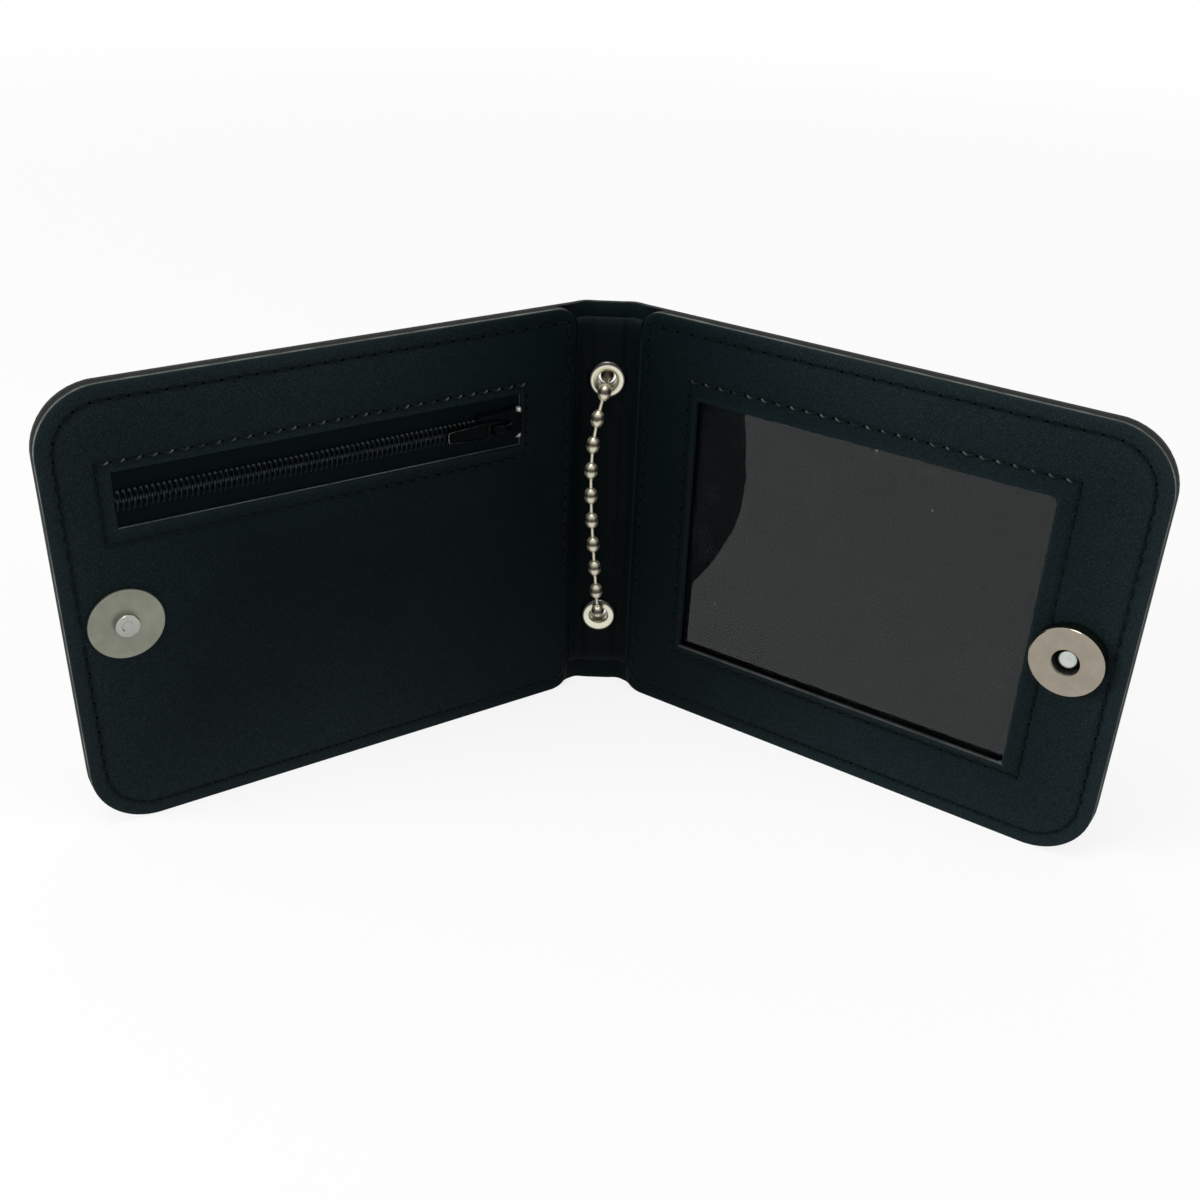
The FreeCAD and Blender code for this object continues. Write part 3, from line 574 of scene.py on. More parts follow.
slot_seams = box_seam(SLOT, *SLOT_MARGINS)
window_seams = box_seam(WINDOW, SEAM_BEFORE, SEAM_AFTER, SEAM_BELOW, SEAM_ABOVE)
leaves = {
    LEFT: {"node": "zip_panel", "opening": SLOT, "seams": slot_seams, "pocket_start": LEAF_START + SEWN_BORDER,
           "opening_edge": raw_edge},
    RIGHT: {"node": "window_frame", "opening": WINDOW, "seams": window_seams, "pocket_start": LEAF_START + NO_START,
            "opening_edge": dyed_edge},
}
for side, made in leaves.items():
    opening = made["opening"]
    seams = cover_seams + made["seams"]
    pocket = (made["pocket_start"], COVER_WIDTH - SEWN_BORDER, SEWN_BORDER, COVER_HEIGHT - SEWN_BORDER)

    def leaf_front(out, up):
        """Level of the leaf's grain side, with its lip round the opening and its skived edge by the spine."""
        edge = rim_distance(out, up, LEAF_START, LEAF_CORNER)
        drawn = seam_groove(out, up, seams, LEAF_DRAW, LEAF_DRAW_WIDTH)
        aside = opening_distance(out, up, opening)
        lip = softened(aside, LIP) - LIP_RIDGE * np.exp(-((aside - 0.6 * MM) / (0.4 * MM)) ** 2)
        skived = SKIVE_DROP * eased(LEAF_START - out, -SKIVE, 0.0)
        return LEAF_FACE - softened(edge, LEAF_ARRIS) - lip - drawn - skived + LEAF_SLACK * slack(out + 0.02, up)

    def leaf_back(out, up):
        """Level of the leaf's inner side: on the lining in the sewn border, and clear of it over the pocket."""
        inside = np.minimum(np.minimum(out - pocket[0], pocket[1] - out), np.minimum(up - pocket[2], pocket[3] - up))
        share = np.clip(inside / POCKET_STEP, 0, 1)
        return LINING_FACE + (LEAF_BACK - LINING_FACE) * share

    steps_out = [d * MM for d in (0.2, 0.4, 0.6, 0.8, 1.2)]
    steps_in = [d * MM for d in (0.5, 1.0)]
    start_steps = [LEAF_START + d * MM for d in (0.1, 0.3, 0.8, 1.4)]
    end_steps = [COVER_WIDTH - d * MM for d in (0.12, 0.4)] + [pocket[1], pocket[1] - POCKET_STEP]
    level_steps = [d * MM for d in (0.1, 0.3, 0.6, 1.1, 3.7, 4.4, 5.0)]
    across = grid_lines(LEAF_START, COVER_WIDTH,
                        start_steps + end_steps + [opening[0], opening[1]] + [opening[0] - d for d in steps_out]
                        + [opening[1] + d for d in steps_out] + [opening[1] - d for d in steps_in],
                        [SEAM_AT_SPINE, COVER_WIDTH - SEAM_INSET, made["seams"][0][0][0], made["seams"][0][1][0]],
                        LEAF_GRID)
    up = grid_lines(0.0, COVER_HEIGHT,
                    corner_rows() + [opening[2], opening[3]] + level_steps + [COVER_HEIGHT - d for d in level_steps]
                    + [opening[2] - d for d in steps_out] + [opening[3] + d for d in steps_out]
                    + [opening[2] + d for d in steps_in] + [opening[3] - d for d in steps_in],
                    [SEAM_INSET, COVER_HEIGHT - SEAM_INSET, made["seams"][0][0][1], made["seams"][1][1][1]],
                    LEAF_GRID)
    flat, faces, kinds = leaf(across, up, leaf_front, leaf_back, [opening], LEAF_CORNER)
    middles = np.array([flat[list(face)].mean(0) for face in faces])
    beside = opening_distance(middles[:, 0], middles[:, 1], opening)
    kinds = np.where((np.array(kinds) == 1) & (beside < LIP), 2, kinds)
    # Painted highlight: the front arris just below the window's bottom edge gets the paler sill finish.
    sill = (kinds == 0) & (beside < SILL) & (middles[:, 1] < opening[2]) & (middles[:, 2] > LEAF_BACK)
    if side == RIGHT:
        kinds = np.where(sill, 3, kinds)
    rim_gap = np.minimum(rim_distance(flat[:, 0], flat[:, 1], LEAF_START, LEAF_CORNER),
                         opening_distance(flat[:, 0], flat[:, 1], opening))
    wear_and_painted_light = np.exp(-rim_gap / LEAF_RIM)
    # Painted shade: the painted sheen is taken down along the seams, a darker line in each groove.
    groove_painted_shade = seam_groove(flat[:, 0], flat[:, 1], seams, GROOVE_SHADE, GROOVE_SHADE_WIDTH)
    panel = piece(COVER_NAME[side] + "_inner_leaf", placed(side, flat), faces,
                  [leather, raw_edge, made["opening_edge"], sill_painted_highlight], kinds,
                  flat, wear_and_painted_light, painted_sheen_share(flat[:, 0], flat[:, 1]) * (1 - groove_painted_shade))
    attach(panel, COVER_BODY[side])
    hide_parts(made["node"])

# Card window
# A sheet of clear flexible vinyl, 0.3 mm thick, sewn behind the right leaf. It is a little too large for its opening,
# so it stands slightly convex in it and sinks in beside the spine, and it carries dust and a thumb smear.
VINYL = (12.8 * MM, 94.8 * MM, 11.5 * MM, 77.2 * MM)
VINYL_THICK = 0.3 * MM
VINYL_BULGE = 0.4 * MM
SAG_HEIGHTS = (0.22, 0.30, 0.42, 0.54, 0.65, 0.77, 0.9, 1.0)
SAG_REACHES = (0.0, 0.04, 0.10, 0.148, 0.17, 0.175, 0.163, 0.15)
SAG_SLOPES = (2.6, 2.4, 2.0, 1.55, 1.25, 1.0, 1.0, 1.0)
SAG_DEPTH = 0.88 * MM
SAG_RISE = 0.046
SAG_CURVE = 0.19
SAG_TOP = 0.86
EDGE_DIP = 0.5 * MM
EDGE_DIP_RUN = 1.7 * MM


def vinyl_finish():
    """Clear vinyl with a faint smear and a few specks of dust."""
    sheet = Finish("clear_vinyl")
    place = sheet.attribute("flat", out=1)
    smear = sheet.range(sheet.noise(place, 75.0, 4.0, 0.7), 0.56, 0.78)
    grit = sheet.node("ShaderNodeTexVoronoi", None, {"Vector": place, "Scale": 160.0})
    few = sheet.node("ShaderNodeTexVoronoi", None, {"Vector": place, "Scale": 160.0}, out=1)
    rare = sheet.node("ShaderNodeSeparateColor", None, {0: few}) > 0.72
    specks = sheet.range(grit, 0.05, 0.03) * rare
    clear = sheet.node("ShaderNodeBsdfPrincipled", None, {
        "Base Color": (0.95, 0.98, 0.97, 1), "Roughness": 0.03 + 0.1 * smear, "IOR": 1.28,
        "Transmission Weight": 1.0})
    dust = sheet.node("ShaderNodeBsdfPrincipled", None, {"Base Color": (0.32, 0.32, 0.3, 1), "Roughness": 0.9})
    return sheet.output(sheet.node("ShaderNodeMixShader", None, {0: 0.5 * specks + 0.012 * smear, 1: clear, 2: dust}))


def vinyl_front(out, up):
    """Level of the vinyl's face: bulged, sunk along a line that slants in from the spine, and dipped at two edges."""
    wide = WINDOW[1] - WINDOW[0]
    across = (out - WINDOW[0]) / wide
    tall = (up - WINDOW[2]) / (WINDOW[3] - WINDOW[2])
    bulge = np.sin(math.pi * np.clip(across, 0, 1)) * np.sin(math.pi * np.clip(tall, 0, 1))
    reach = np.interp(tall, SAG_HEIGHTS, SAG_REACHES)
    steep = wide * np.interp(tall, SAG_HEIGHTS, SAG_SLOPES)
    run = np.clip(across, 0, reach)
    full = steep * (SAG_RISE * reach + SAG_CURVE * reach ** 2)
    sunk = steep * (SAG_RISE * run + SAG_CURVE * run ** 2) - np.minimum(full, SAG_DEPTH)
    sunk = np.minimum(sunk, 0) + np.maximum(sunk, 0) * (1 - np.clip(across, 0, 1)) * eased(-tall, -1.0, -SAG_TOP)
    near = np.minimum(out - WINDOW[0], up - WINDOW[2])
    dip = EDGE_DIP * (eased(near, 0.0, EDGE_DIP_RUN) - 1)
    sunk = np.where(near < EDGE_DIP_RUN, np.minimum(sunk, dip), sunk)
    sunk = sunk * eased(out, WINDOW[0] - SEAM_BEFORE, WINDOW[0]) * eased(-up, -WINDOW[3] - SEAM_ABOVE, -WINDOW[3])
    sunk = sunk * eased(up, WINDOW[2] - SEAM_BELOW, WINDOW[2])
    return LEAF_BACK - 0.01 * MM + VINYL_BULGE * bulge + sunk


def vinyl_back(out, up):
    """Level of the vinyl's hidden face."""
    return vinyl_front(out, up) - VINYL_THICK


dip_lines = [EDGE_DIP_RUN * share for share in (-0.25, 0.0, 0.25, 0.5, 0.75, 1.0)]
vinyl_flat, vinyl_faces, _ = leaf(
    grid_lines(VINYL[0], VINYL[1], [WINDOW[0] + d for d in dip_lines] + [WINDOW[1]], [], 0.8 * MM),
    grid_lines(VINYL[2], VINYL[3], [WINDOW[2] + d for d in dip_lines] + [WINDOW[3]], [], 1.2 * MM),
    vinyl_front, vinyl_back)
vinyl = piece("card_window", placed(RIGHT, vinyl_flat), vinyl_faces, [vinyl_finish()], None, vinyl_flat)
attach(vinyl, "right_cover")
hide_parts("window_vinyl")

# Zip tapes
# Two black woven polyester tapes behind the slot, sewn to the leaf along both of its long edges.
# Each carries one half of the coil along its inner selvedge.
tape_cloth = woven_finish("zip_tape_cloth", LEFT, (0.0002, 0.0016, 0.0022, 1), (0.0026, 0.0066, 0.0082, 1),
                          0.62 * MM, 0.00009, 0.62)
for node in ("zip_tape_upper", "zip_tape_lower"):
    dress(node, tape_cloth)

# Zip coil
# Two continuous spirals of black nylon, 0.5 mm thick, one along the inner selvedge of each tape.
# Their loops stand 1.02 mm apart on each side and lock between each other along the middle.
ZIP_UP = 67.3 * MM
COIL_START = 16.75 * MM
COIL_END = 96.8 * MM
COIL_PITCH = 1.02 * MM
COIL_WIRE = 0.25 * MM
COIL_SIDES = 12
LOOP_STEPS = 14
COIL_SLANT = 0.55
COIL_MARGIN = 0.25 * MM
LOOP_MIDDLE = 0.76 * MM
LOOP_REACH = 0.98 * MM
LOOP_LEVEL = 2.78 * MM
LOOP_HEIGHT = 0.34 * MM
# Painted highlight on the loops' crests: at the bends, strongest on the upper row, and at the heads.
BEND_PAINTED_HIGHLIGHT = {1: 1.0, -1: 0.25}
LEG_PAINTED_HIGHLIGHT = {1: 0.04, -1: 0.07}
HEAD_PAINTED_HIGHLIGHT = 0.8


def lofted(rings):
    """Closed skin through rings of the same count, capped at both ends."""
    count = len(rings[0])
    points = [tuple(p) for ring in rings for p in ring]
    faces = []
    for ring in range(len(rings) - 1):
        for k in range(count):
            a = ring * count + k
            b = ring * count + (k + 1) % count
            faces.append((a, b, b + count, a + count))
    faces.append(tuple(range(count))[::-1])
    faces.append(tuple(range((len(rings) - 1) * count, len(rings) * count)))
    return np.array(points), faces


def swept(path, radii, sides):
    """Closed round tube along points: its points and faces, with each ring's own radius."""
    path = np.asarray(path, float)
    headings = np.gradient(path, axis=0)
    headings /= np.linalg.norm(headings, axis=1)[:, None]
    start = Vector(headings[0])
    across = start.orthogonal().normalized()
    rings = []
    last = start
    for centre, heading, radius in zip(path, headings, radii):
        heading = Vector(heading)
        across = last.rotation_difference(heading) @ across
        across = (across - heading * across.dot(heading)).normalized()
        beside = heading.cross(across)
        last = heading
        angles = [2 * math.pi * k / sides for k in range(sides)]
        rings.append([Vector(centre) + (math.cos(a) * across + math.sin(a) * beside) * float(radius) for a in angles])
    return lofted(rings)


def joined(parts):
    """Several meshes' points and faces as one."""
    points = []
    faces = []
    for part_points, part_faces in parts:
        shift = len(points)
        points += [tuple(p) for p in part_points]
        faces += [tuple(shift + v for v in face) for face in part_faces]
    return np.array(points), faces


def nylon_finish():
    """Black nylon, paler on the loops' crests where the rim attribute sets a painted highlight."""
    nylon = Finish("zip_coil_nylon")
    place = nylon.attribute("flat", out=1)
    scuff = nylon.noise(place, 900.0, 3.0)
    dark = nylon.mix(scuff, (0.0002, 0.0014, 0.0019, 1), (0.0013, 0.0044, 0.0056, 1))
    # Painted highlight: a paler tone where the rim attribute says.
    wear_and_painted_highlight = nylon.attribute("rim") * nylon.range(scuff, 0.3, 0.6, 0.45, 1.0)
    return nylon.surface({
        "Base Color": nylon.mix(wear_and_painted_highlight, dark, (0.047, 0.06, 0.058, 1)),
        "Roughness": 0.24 + 0.14 * scuff,
        "Specular IOR Level": 0.045,
        "Normal": nylon.bump(scuff, 0.00003, 0.4),
    })


nylon = nylon_finish()
coil_turns = (COIL_END - COIL_START) / COIL_PITCH
for name, way, lag in (("upper", 1, 0.0), ("lower", -1, 0.5)):
    steps = np.linspace(0, coil_turns, int(coil_turns * LOOP_STEPS)) + lag
    round_loop = 2 * math.pi * steps
    advance = steps - lag - COIL_SLANT * np.cos(round_loop) / (2 * math.pi)
    flat = np.stack([COIL_START + COIL_MARGIN + advance * COIL_PITCH,
                     ZIP_UP + way * (LOOP_MIDDLE + LOOP_REACH * np.cos(round_loop)),
                     LOOP_LEVEL - LOOP_HEIGHT * np.sin(round_loop)], 1)
    flat_points, faces = swept(flat, np.full(len(flat), COIL_WIRE), COIL_SIDES)
    crest = (flat_points[:, 2] - np.repeat(flat[:, 2], COIL_SIDES)) / COIL_WIRE
    bend = np.repeat(np.clip(np.cos(round_loop) * 4 - 3, 0, 1), COIL_SIDES)
    head = np.repeat(np.clip(-np.cos(round_loop) * 2 - 0.5, 0, 1), COIL_SIDES)
    wear_and_painted_light = (BEND_PAINTED_HIGHLIGHT[way] * bend + LEG_PAINTED_HIGHLIGHT[way]) * np.clip(crest * 2, 0, 1)
    wear_and_painted_light += HEAD_PAINTED_HIGHLIGHT * head * np.clip(crest * 2.5 - 1.4, 0, 1)
    coil = piece("zip_coil_" + name + "_loops", placed(LEFT, flat_points), faces, [nylon], None, flat_points, wear_and_painted_light,
                 crisp=60.0)
    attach(coil, "left_cover")
    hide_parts("zip_coil_" + name)

# Zip slider and pull
# The slider is die-cast zinc, sprayed black and rubbed bare at the shoulders where the two halves of the coil run in.
# Its pull is a flat pressed tab, tapered, with a sunk oblong face, on a pin through the slider's bridge.
SLIDER_START = 16.8 * MM
SLIDER_END = 26.4 * MM
SLIDER_MIDDLE = (SLIDER_START + SLIDER_END) / 2
SLIDER_WIDE = 3.3 * MM
SLIDER_NARROW = 2.7 * MM
SLIDER_LOW = 2.3 * MM
SLIDER_ROOF = 3.5 * MM
SLIDER_TOP = 4.2 * MM
SLIDER_CHANNEL = 2.15 * MM
SHOULDER = 1.6 * MM
BROW = 0.55 * MM
WAIST = 0.25 * MM
MOUTH_WEAR = 1.7 * MM
BROW_WEAR = 0.7 * MM
WEAR_LEVEL = 2.9 * MM
WEAR_RISE = 0.8 * MM
BRIDGE_FOOT = 2.2 * MM
BRIDGE_REACH = 1.9 * MM
BRIDGE_RISE = 1.05 * MM
BRIDGE_HALF = 0.27 * MM
BRIDGE_RING = ((-1, -0.68), (-0.6, -0.73), (0.6, -0.73), (1, -0.58), (1, 0.58), (0.6, 0.73), (-0.6, 0.73), (-1, 0.68))
BRIDGE_ARRIS = [2, 5]
BRIDGE_RUB = 0.6
PIN_LEVEL = 4.75 * MM
PIN_RADIUS = 0.34 * MM
ARM_RADIUS = 0.38 * MM
ARM_ASIDE = 1.22 * MM
TAB_START = 2.85 * MM
TAB_END = 12.0 * MM
TAB_WIDE = 1.75 * MM
TAB_NARROW = 1.12 * MM
TAB_HALF = 0.4 * MM
TAB_ARRIS = 4
TAB_RUB = 0.52
TAB_END_RUB = 0.16
DROOP = math.radians(1.0)


def sprayed_finish():
    """Black spray paint over zinc, with bare metal where the rim attribute says."""
    paint = Finish("sprayed_slider_metal")
    place = paint.attribute("flat", out=1)
    grain = paint.noise(place, 1800.0, 3.0)
    bare = paint.range(paint.attribute("rim") + 0.35 * (grain - 0.5), 0.55, 0.8)
    return paint.surface({
        "Base Color": paint.mix(bare, (0.0006, 0.0016, 0.002, 1), (0.52, 0.53, 0.5, 1)),
        "Metallic": bare,
        "Roughness": 0.24 + 0.12 * grain,
        "Specular IOR Level": 0.025,
        "Normal": paint.bump(grain, 0.00002, 0.5),
    })


def slider_section(out, half, shrink):
    """Ring of the slider's upper shell at one place along the zip: a roof with two side walls and a round brow."""
    low = SLIDER_LOW + shrink
    top = SLIDER_TOP - shrink
    wall = half - shrink
    turns = np.radians(range(0, 91, 18))
    outline = [(-SLIDER_CHANNEL, low), (-wall, low)]
    outline += [(-wall + BROW * (1 - math.cos(a)), top - BROW + BROW * math.sin(a)) for a in turns]
    outline += [(-SHOULDER, top), (SHOULDER, top)]
    outline += [(wall - BROW * (1 - math.sin(a)), top - BROW + BROW * math.cos(a)) for a in turns]
    outline += [(wall, low), (SLIDER_CHANNEL, low), (SLIDER_CHANNEL, SLIDER_ROOF), (-SLIDER_CHANNEL, SLIDER_ROOF)]
    return [(out, ZIP_UP + across, level) for across, level in outline]


def slider_half(out):
    """Half the slider's width at one place along the zip: wide at its mouth, with a slight waist."""
    share = (out - SLIDER_START) / (SLIDER_END - SLIDER_START)
    waist = WAIST * math.sin(math.pi * min(1.0, share * 1.25)) ** 2
    return SLIDER_WIDE + (SLIDER_NARROW - SLIDER_WIDE) * share - waist


sprayed = sprayed_finish()
stations = [(0.0, 0.22), (0.07, 0.09), (0.2, 0.02)]
stations += [(d, 0.0) for d in (0.45, 1.5, 2.7, 4.0, 5.3, 6.6, 7.9, 9.1)]
stations += [(9.35, 0.02), (9.5, 0.09), (9.6, 0.22)]
shell = lofted([slider_section(SLIDER_START + d * MM, slider_half(SLIDER_START + d * MM), shrink * MM)
                for d, shrink in stations])


def plate(outline, levels):
    """Flat plate of an outline of (out, across) points about the zip's middle, from (level, inset) rings."""
    middle = np.mean(outline, axis=0)
    rings = []
    for level, inset in levels:
        ring = []
        for out, across in outline:
            away = np.array([out, across]) - middle
            moved = middle + away * (1 - inset / max(np.linalg.norm(away), HAIR))
            ring.append((moved[0], ZIP_UP + moved[1], level))
        rings.append(ring)
    return lofted(rings)


def rounded(corners, radius, steps=4):
    """Outline of straight sides with round corners."""
    outline = []
    for i, here in enumerate(corners):
        here = np.array(here)
        back = np.array(corners[i - 1]) - here
        ahead = np.array(corners[(i + 1) % len(corners)]) - here
        back = back / np.linalg.norm(back)
        ahead = ahead / np.linalg.norm(ahead)
        half = math.acos(max(-1.0, min(1.0, float(back @ ahead)))) / 2
        reach = radius / math.tan(half)
        middle = here + (back + ahead) / np.linalg.norm(back + ahead) * radius / math.sin(half)
        first = here + back * reach - middle
        last = here + ahead * reach - middle
        for k in range(steps + 1):
            bow = first * (1 - k / steps) + last * k / steps
            outline.append(middle + bow / np.linalg.norm(bow) * radius)
    return outline


base_outline = rounded([(SLIDER_START, -SLIDER_WIDE), (SLIDER_END, -SLIDER_NARROW), (SLIDER_END, SLIDER_NARROW),
                        (SLIDER_START, SLIDER_WIDE)], 0.8 * MM)
base = plate(base_outline, [(1.12 * MM, 0.1 * MM), (1.2 * MM, 0.0), (1.52 * MM, 0.0), (1.6 * MM, 0.1 * MM)])
arch = [(SLIDER_MIDDLE - BRIDGE_FOOT, SLIDER_TOP - 0.15 * MM)]
arch += [(SLIDER_MIDDLE - BRIDGE_REACH * math.cos(a), SLIDER_TOP + 0.25 * MM + BRIDGE_RISE * math.sin(a) ** 0.7)
         for a in np.radians(range(10, 171, 20))]
arch.append((SLIDER_MIDDLE + BRIDGE_FOOT, SLIDER_TOP - 0.15 * MM))
arch_rings = []
for i, (out, level) in enumerate(arch):
    before = arch[max(i - 1, 0)]
    after = arch[min(i + 1, len(arch) - 1)]
    run = np.array([after[0] - before[0], after[1] - before[1]])
    rise = np.array([-run[1], run[0]]) / np.linalg.norm(run) * BRIDGE_HALF
    arch_rings.append([(out + way * rise[0], ZIP_UP + across * MM, level + way * rise[1])
                       for way, across in BRIDGE_RING])
slider_flat, slider_faces = joined([shell, base, lofted(arch_rings)])
at_mouth = np.exp(-((slider_flat[:, 0] - SLIDER_START) / MOUTH_WEAR) ** 2)
at_brow = np.clip((np.abs(slider_flat[:, 1] - ZIP_UP) - SHOULDER) / BROW_WEAR, 0, 1)
on_top = np.clip((slider_flat[:, 2] - WEAR_LEVEL) / WEAR_RISE, 0, 1)
wear_and_painted_light = at_mouth * at_brow * on_top
bridge_points = wear_and_painted_light[-len(BRIDGE_RING) * len(arch_rings):].reshape(-1, len(BRIDGE_RING))
bridge_points[:, BRIDGE_ARRIS] = BRIDGE_RUB
slider = piece("zip_slider_body", placed(LEFT, slider_flat), slider_faces, [sprayed], None, slider_flat, wear_and_painted_light,
               crisp=42.0)
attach(slider, "zip_slider")
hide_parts("zip_slider")

tab_start = SLIDER_MIDDLE + TAB_START
tab_end = SLIDER_MIDDLE + TAB_END
tab_low = PIN_LEVEL - TAB_HALF
tab_high = PIN_LEVEL + TAB_HALF
tab_outline = rounded([(tab_start, -TAB_WIDE), (tab_end, -TAB_NARROW), (tab_end, TAB_NARROW), (tab_start, TAB_WIDE)],
                      0.45 * MM, 5)
tab = plate(tab_outline, [(tab_low + 0.05 * MM, 0.6 * MM), (tab_low, 0.12 * MM), (tab_low + 0.1 * MM, 0.0),
                          (tab_high - 0.1 * MM, 0.0), (tab_high, 0.1 * MM), (tab_high, 0.42 * MM),
                          (tab_high - 0.06 * MM, 0.5 * MM), (tab_high - 0.28 * MM, 0.56 * MM)])
arms = []
for way in (-1, 1):
    middle_line = [(SLIDER_MIDDLE - 0.25 * MM + d * MM, ZIP_UP + way * ARM_ASIDE, PIN_LEVEL)
                   for d in (0.0, 0.12, 0.4, 1.2, 2.2, 3.4, 3.6)]
    arms.append(swept(middle_line, [0.2 * MM, 0.33 * MM, *[ARM_RADIUS] * 4, 0.3 * MM], 12))
pin_line = [(SLIDER_MIDDLE, ZIP_UP + d * MM, PIN_LEVEL) for d in (-1.5, -1.3, 0.0, 1.3, 1.5)]
pin = swept(pin_line, [0.25 * MM, PIN_RADIUS, PIN_RADIUS, PIN_RADIUS, 0.25 * MM], 12)
pull_flat, pull_faces = joined([tab, *arms, pin])
leaned = pull_flat.copy()
lever = pull_flat[:, 0] - SLIDER_MIDDLE
lift = pull_flat[:, 2] - PIN_LEVEL
leaned[:, 0] = SLIDER_MIDDLE + lever * math.cos(DROOP) + lift * math.sin(DROOP)
leaned[:, 2] = PIN_LEVEL - lever * math.sin(DROOP) + lift * math.cos(DROOP)
wear_and_painted_light = np.zeros(len(pull_flat))
arris = slice(TAB_ARRIS * len(tab_outline), (TAB_ARRIS + 1) * len(tab_outline))
wear_and_painted_light[arris] = TAB_RUB + TAB_END_RUB * np.clip(lever[arris] / (8 * MM), 0, 1)
pull = piece("zip_pull_tab", placed(LEFT, leaned), pull_faces, [sprayed], None, pull_flat, wear_and_painted_light, crisp=40.0)
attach(pull, "zip_pull")
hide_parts("zip_pull")

# Magnetic snap
# On the left a thin pressed steel disc with a raised stud, dull plated; on the right a drawn case over a ring magnet,
# polished nickel, with a post in its hole. Each half is riveted through its leaf on a washer behind it.
SNAP_RADIUS = 7.0 * MM


def turned(profile, centre, axis, sides=72):
    """Skin turned about an axis from (radius, height) points in mm."""
    axis = Vector(axis).normalized()
    across = axis.orthogonal().normalized()
    beside = axis.cross(across)
    points = []
    faces = []
    rings = []
    for radius, height in [(r * MM, h * MM) for r, h in profile]:
        middle = Vector(centre) + axis * height
        if radius < HAIR:
            rings.append([len(points)])
            points.append(middle)
            continue
        rings.append(list(range(len(points), len(points) + sides)))
        for k in range(sides):
            angle = 2 * math.pi * k / sides
            points.append(middle + radius * (math.cos(angle) * across + math.sin(angle) * beside))
    for first, second in zip(rings, rings[1:]):
        for k in range(sides):
            a, b = first[k % len(first)], first[(k + 1) % len(first)]
            c, d = second[(k + 1) % len(second)], second[k % len(second)]
            faces.append(tuple(dict.fromkeys((a, b, c, d))))
    return np.array(points), faces


def plated_finish(name, colour, shade, roughness, haze, scratch, turning=0.0, painted_dark_tone=None, metallic=1.0):
    """Plated metal: a slightly clouded tone with fine rubbing marks, marks of turning where set, and where set a dark
    tone of painted reflection and painted shade where the rim attribute says.
    """
    metal = Finish(name)
    place = metal.attribute("flat", out=1)
    cloud = metal.noise(place, 240.0, 3.0, 0.6)
    rub = metal.noise(place, 2600.0, 2.0)
    height = rub
    if turning:
        radius = metal.node("ShaderNodeVectorMath", {"operation": "LENGTH"}, {0: place}, out=1)
        height = 0.4 * rub + turning * metal.node("ShaderNodeMath", {"operation": "SINE"}, {0: radius * 26000.0})
    tone = metal.mix(metal.range(cloud, 0.35, 0.7), shade, colour)
    if painted_dark_tone:
        tone = metal.mix(metal.attribute("rim"), tone, painted_dark_tone)
    return metal.surface({
        "Base Color": tone,
        "Metallic": metallic,
        "Roughness": roughness + haze * (cloud - 0.5),
        "Normal": metal.bump(height, scratch, 0.5),
    })


def snap_piece(name, side, profile, finish, node):
    """One turned part of the snap, at its place on a cover; its flat coordinate counts from its own middle."""
    centre = placed(side, [(SNAP_OUT, SNAP_UP, 0.0)])[0]
    inward = Vector((-side * math.sin(FOLD_IN), -math.cos(FOLD_IN), 0.0))
    points, faces = turned(profile, centre, inward)
    made = piece(name, points, faces, [finish], None, points - centre, crisp=32.0)
    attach(made, COVER_BODY[side])
    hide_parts(node)


dull_plate = plated_finish("dull_stud_plate", (0.26, 0.265, 0.215, 1), (0.21, 0.215, 0.175, 1), 0.42, 0.1, 0.00001,
                           0.5)
bright_tip = plated_finish("bright_stud_tip", (0.42, 0.43, 0.39, 1), (0.33, 0.34, 0.31, 1), 0.3, 0.08, 0.00001)
warm_nickel = plated_finish("polished_snap_case", (0.35, 0.315, 0.255, 1), (0.3, 0.27, 0.215, 1), 0.16, 0.05,
                            0.000006)
pale_post = plated_finish("pale_snap_post", (0.62, 0.66, 0.62, 1), (0.5, 0.54, 0.5, 1), 0.3, 0.06, 0.00001)
stud_profile = [(0.0, 3.0), (6.75, 3.0), (6.93, 3.06), (7.0, 3.25), (7.0, 3.5), (6.92, 3.7), (6.72, 3.79), (6.4, 3.8),
                (6.25, 3.74), (6.1, 3.72), (5.95, 3.74), (5.8, 3.79), (4.2, 3.8), (3.05, 3.8), (2.75, 3.76),
                (2.3, 3.76), (0.0, 3.76)]
snap_piece("stud_disc", LEFT, stud_profile, dull_plate, "stud_plate")
tip_profile = [(0.0, 3.5), (2.3, 3.7), (2.3, 4.5), (2.24, 4.66), (2.1, 4.77), (1.9, 4.8), (1.25, 4.8), (1.1, 4.74),
               (0.95, 4.6), (0.0, 4.55)]
snap_piece("stud_boss", LEFT, tip_profile, bright_tip, "stud_tip")
case_profile = [(6.3, 3.0), (6.8, 3.0), (6.95, 3.08), (7.0, 3.25), (7.0, 5.35), (6.94, 5.65), (6.78, 5.87),
                (6.52, 5.98), (6.2, 6.0), (3.15, 6.0), (2.85, 5.97), (2.64, 5.86), (2.55, 5.66), (2.55, 5.2),
                (2.75, 5.1), (6.3, 5.1), (6.3, 3.0)]
snap_piece("socket_shell", RIGHT, case_profile, warm_nickel, "socket_case")
post_profile = [(0.0, 2.9), (1.85, 3.0), (1.85, 4.35), (1.8, 4.52), (1.65, 4.64), (1.4, 4.7), (0.55, 4.7), (0.4, 4.64),
                (0.0, 4.6)]
snap_piece("socket_stud", RIGHT, post_profile, pale_post, "socket_post")


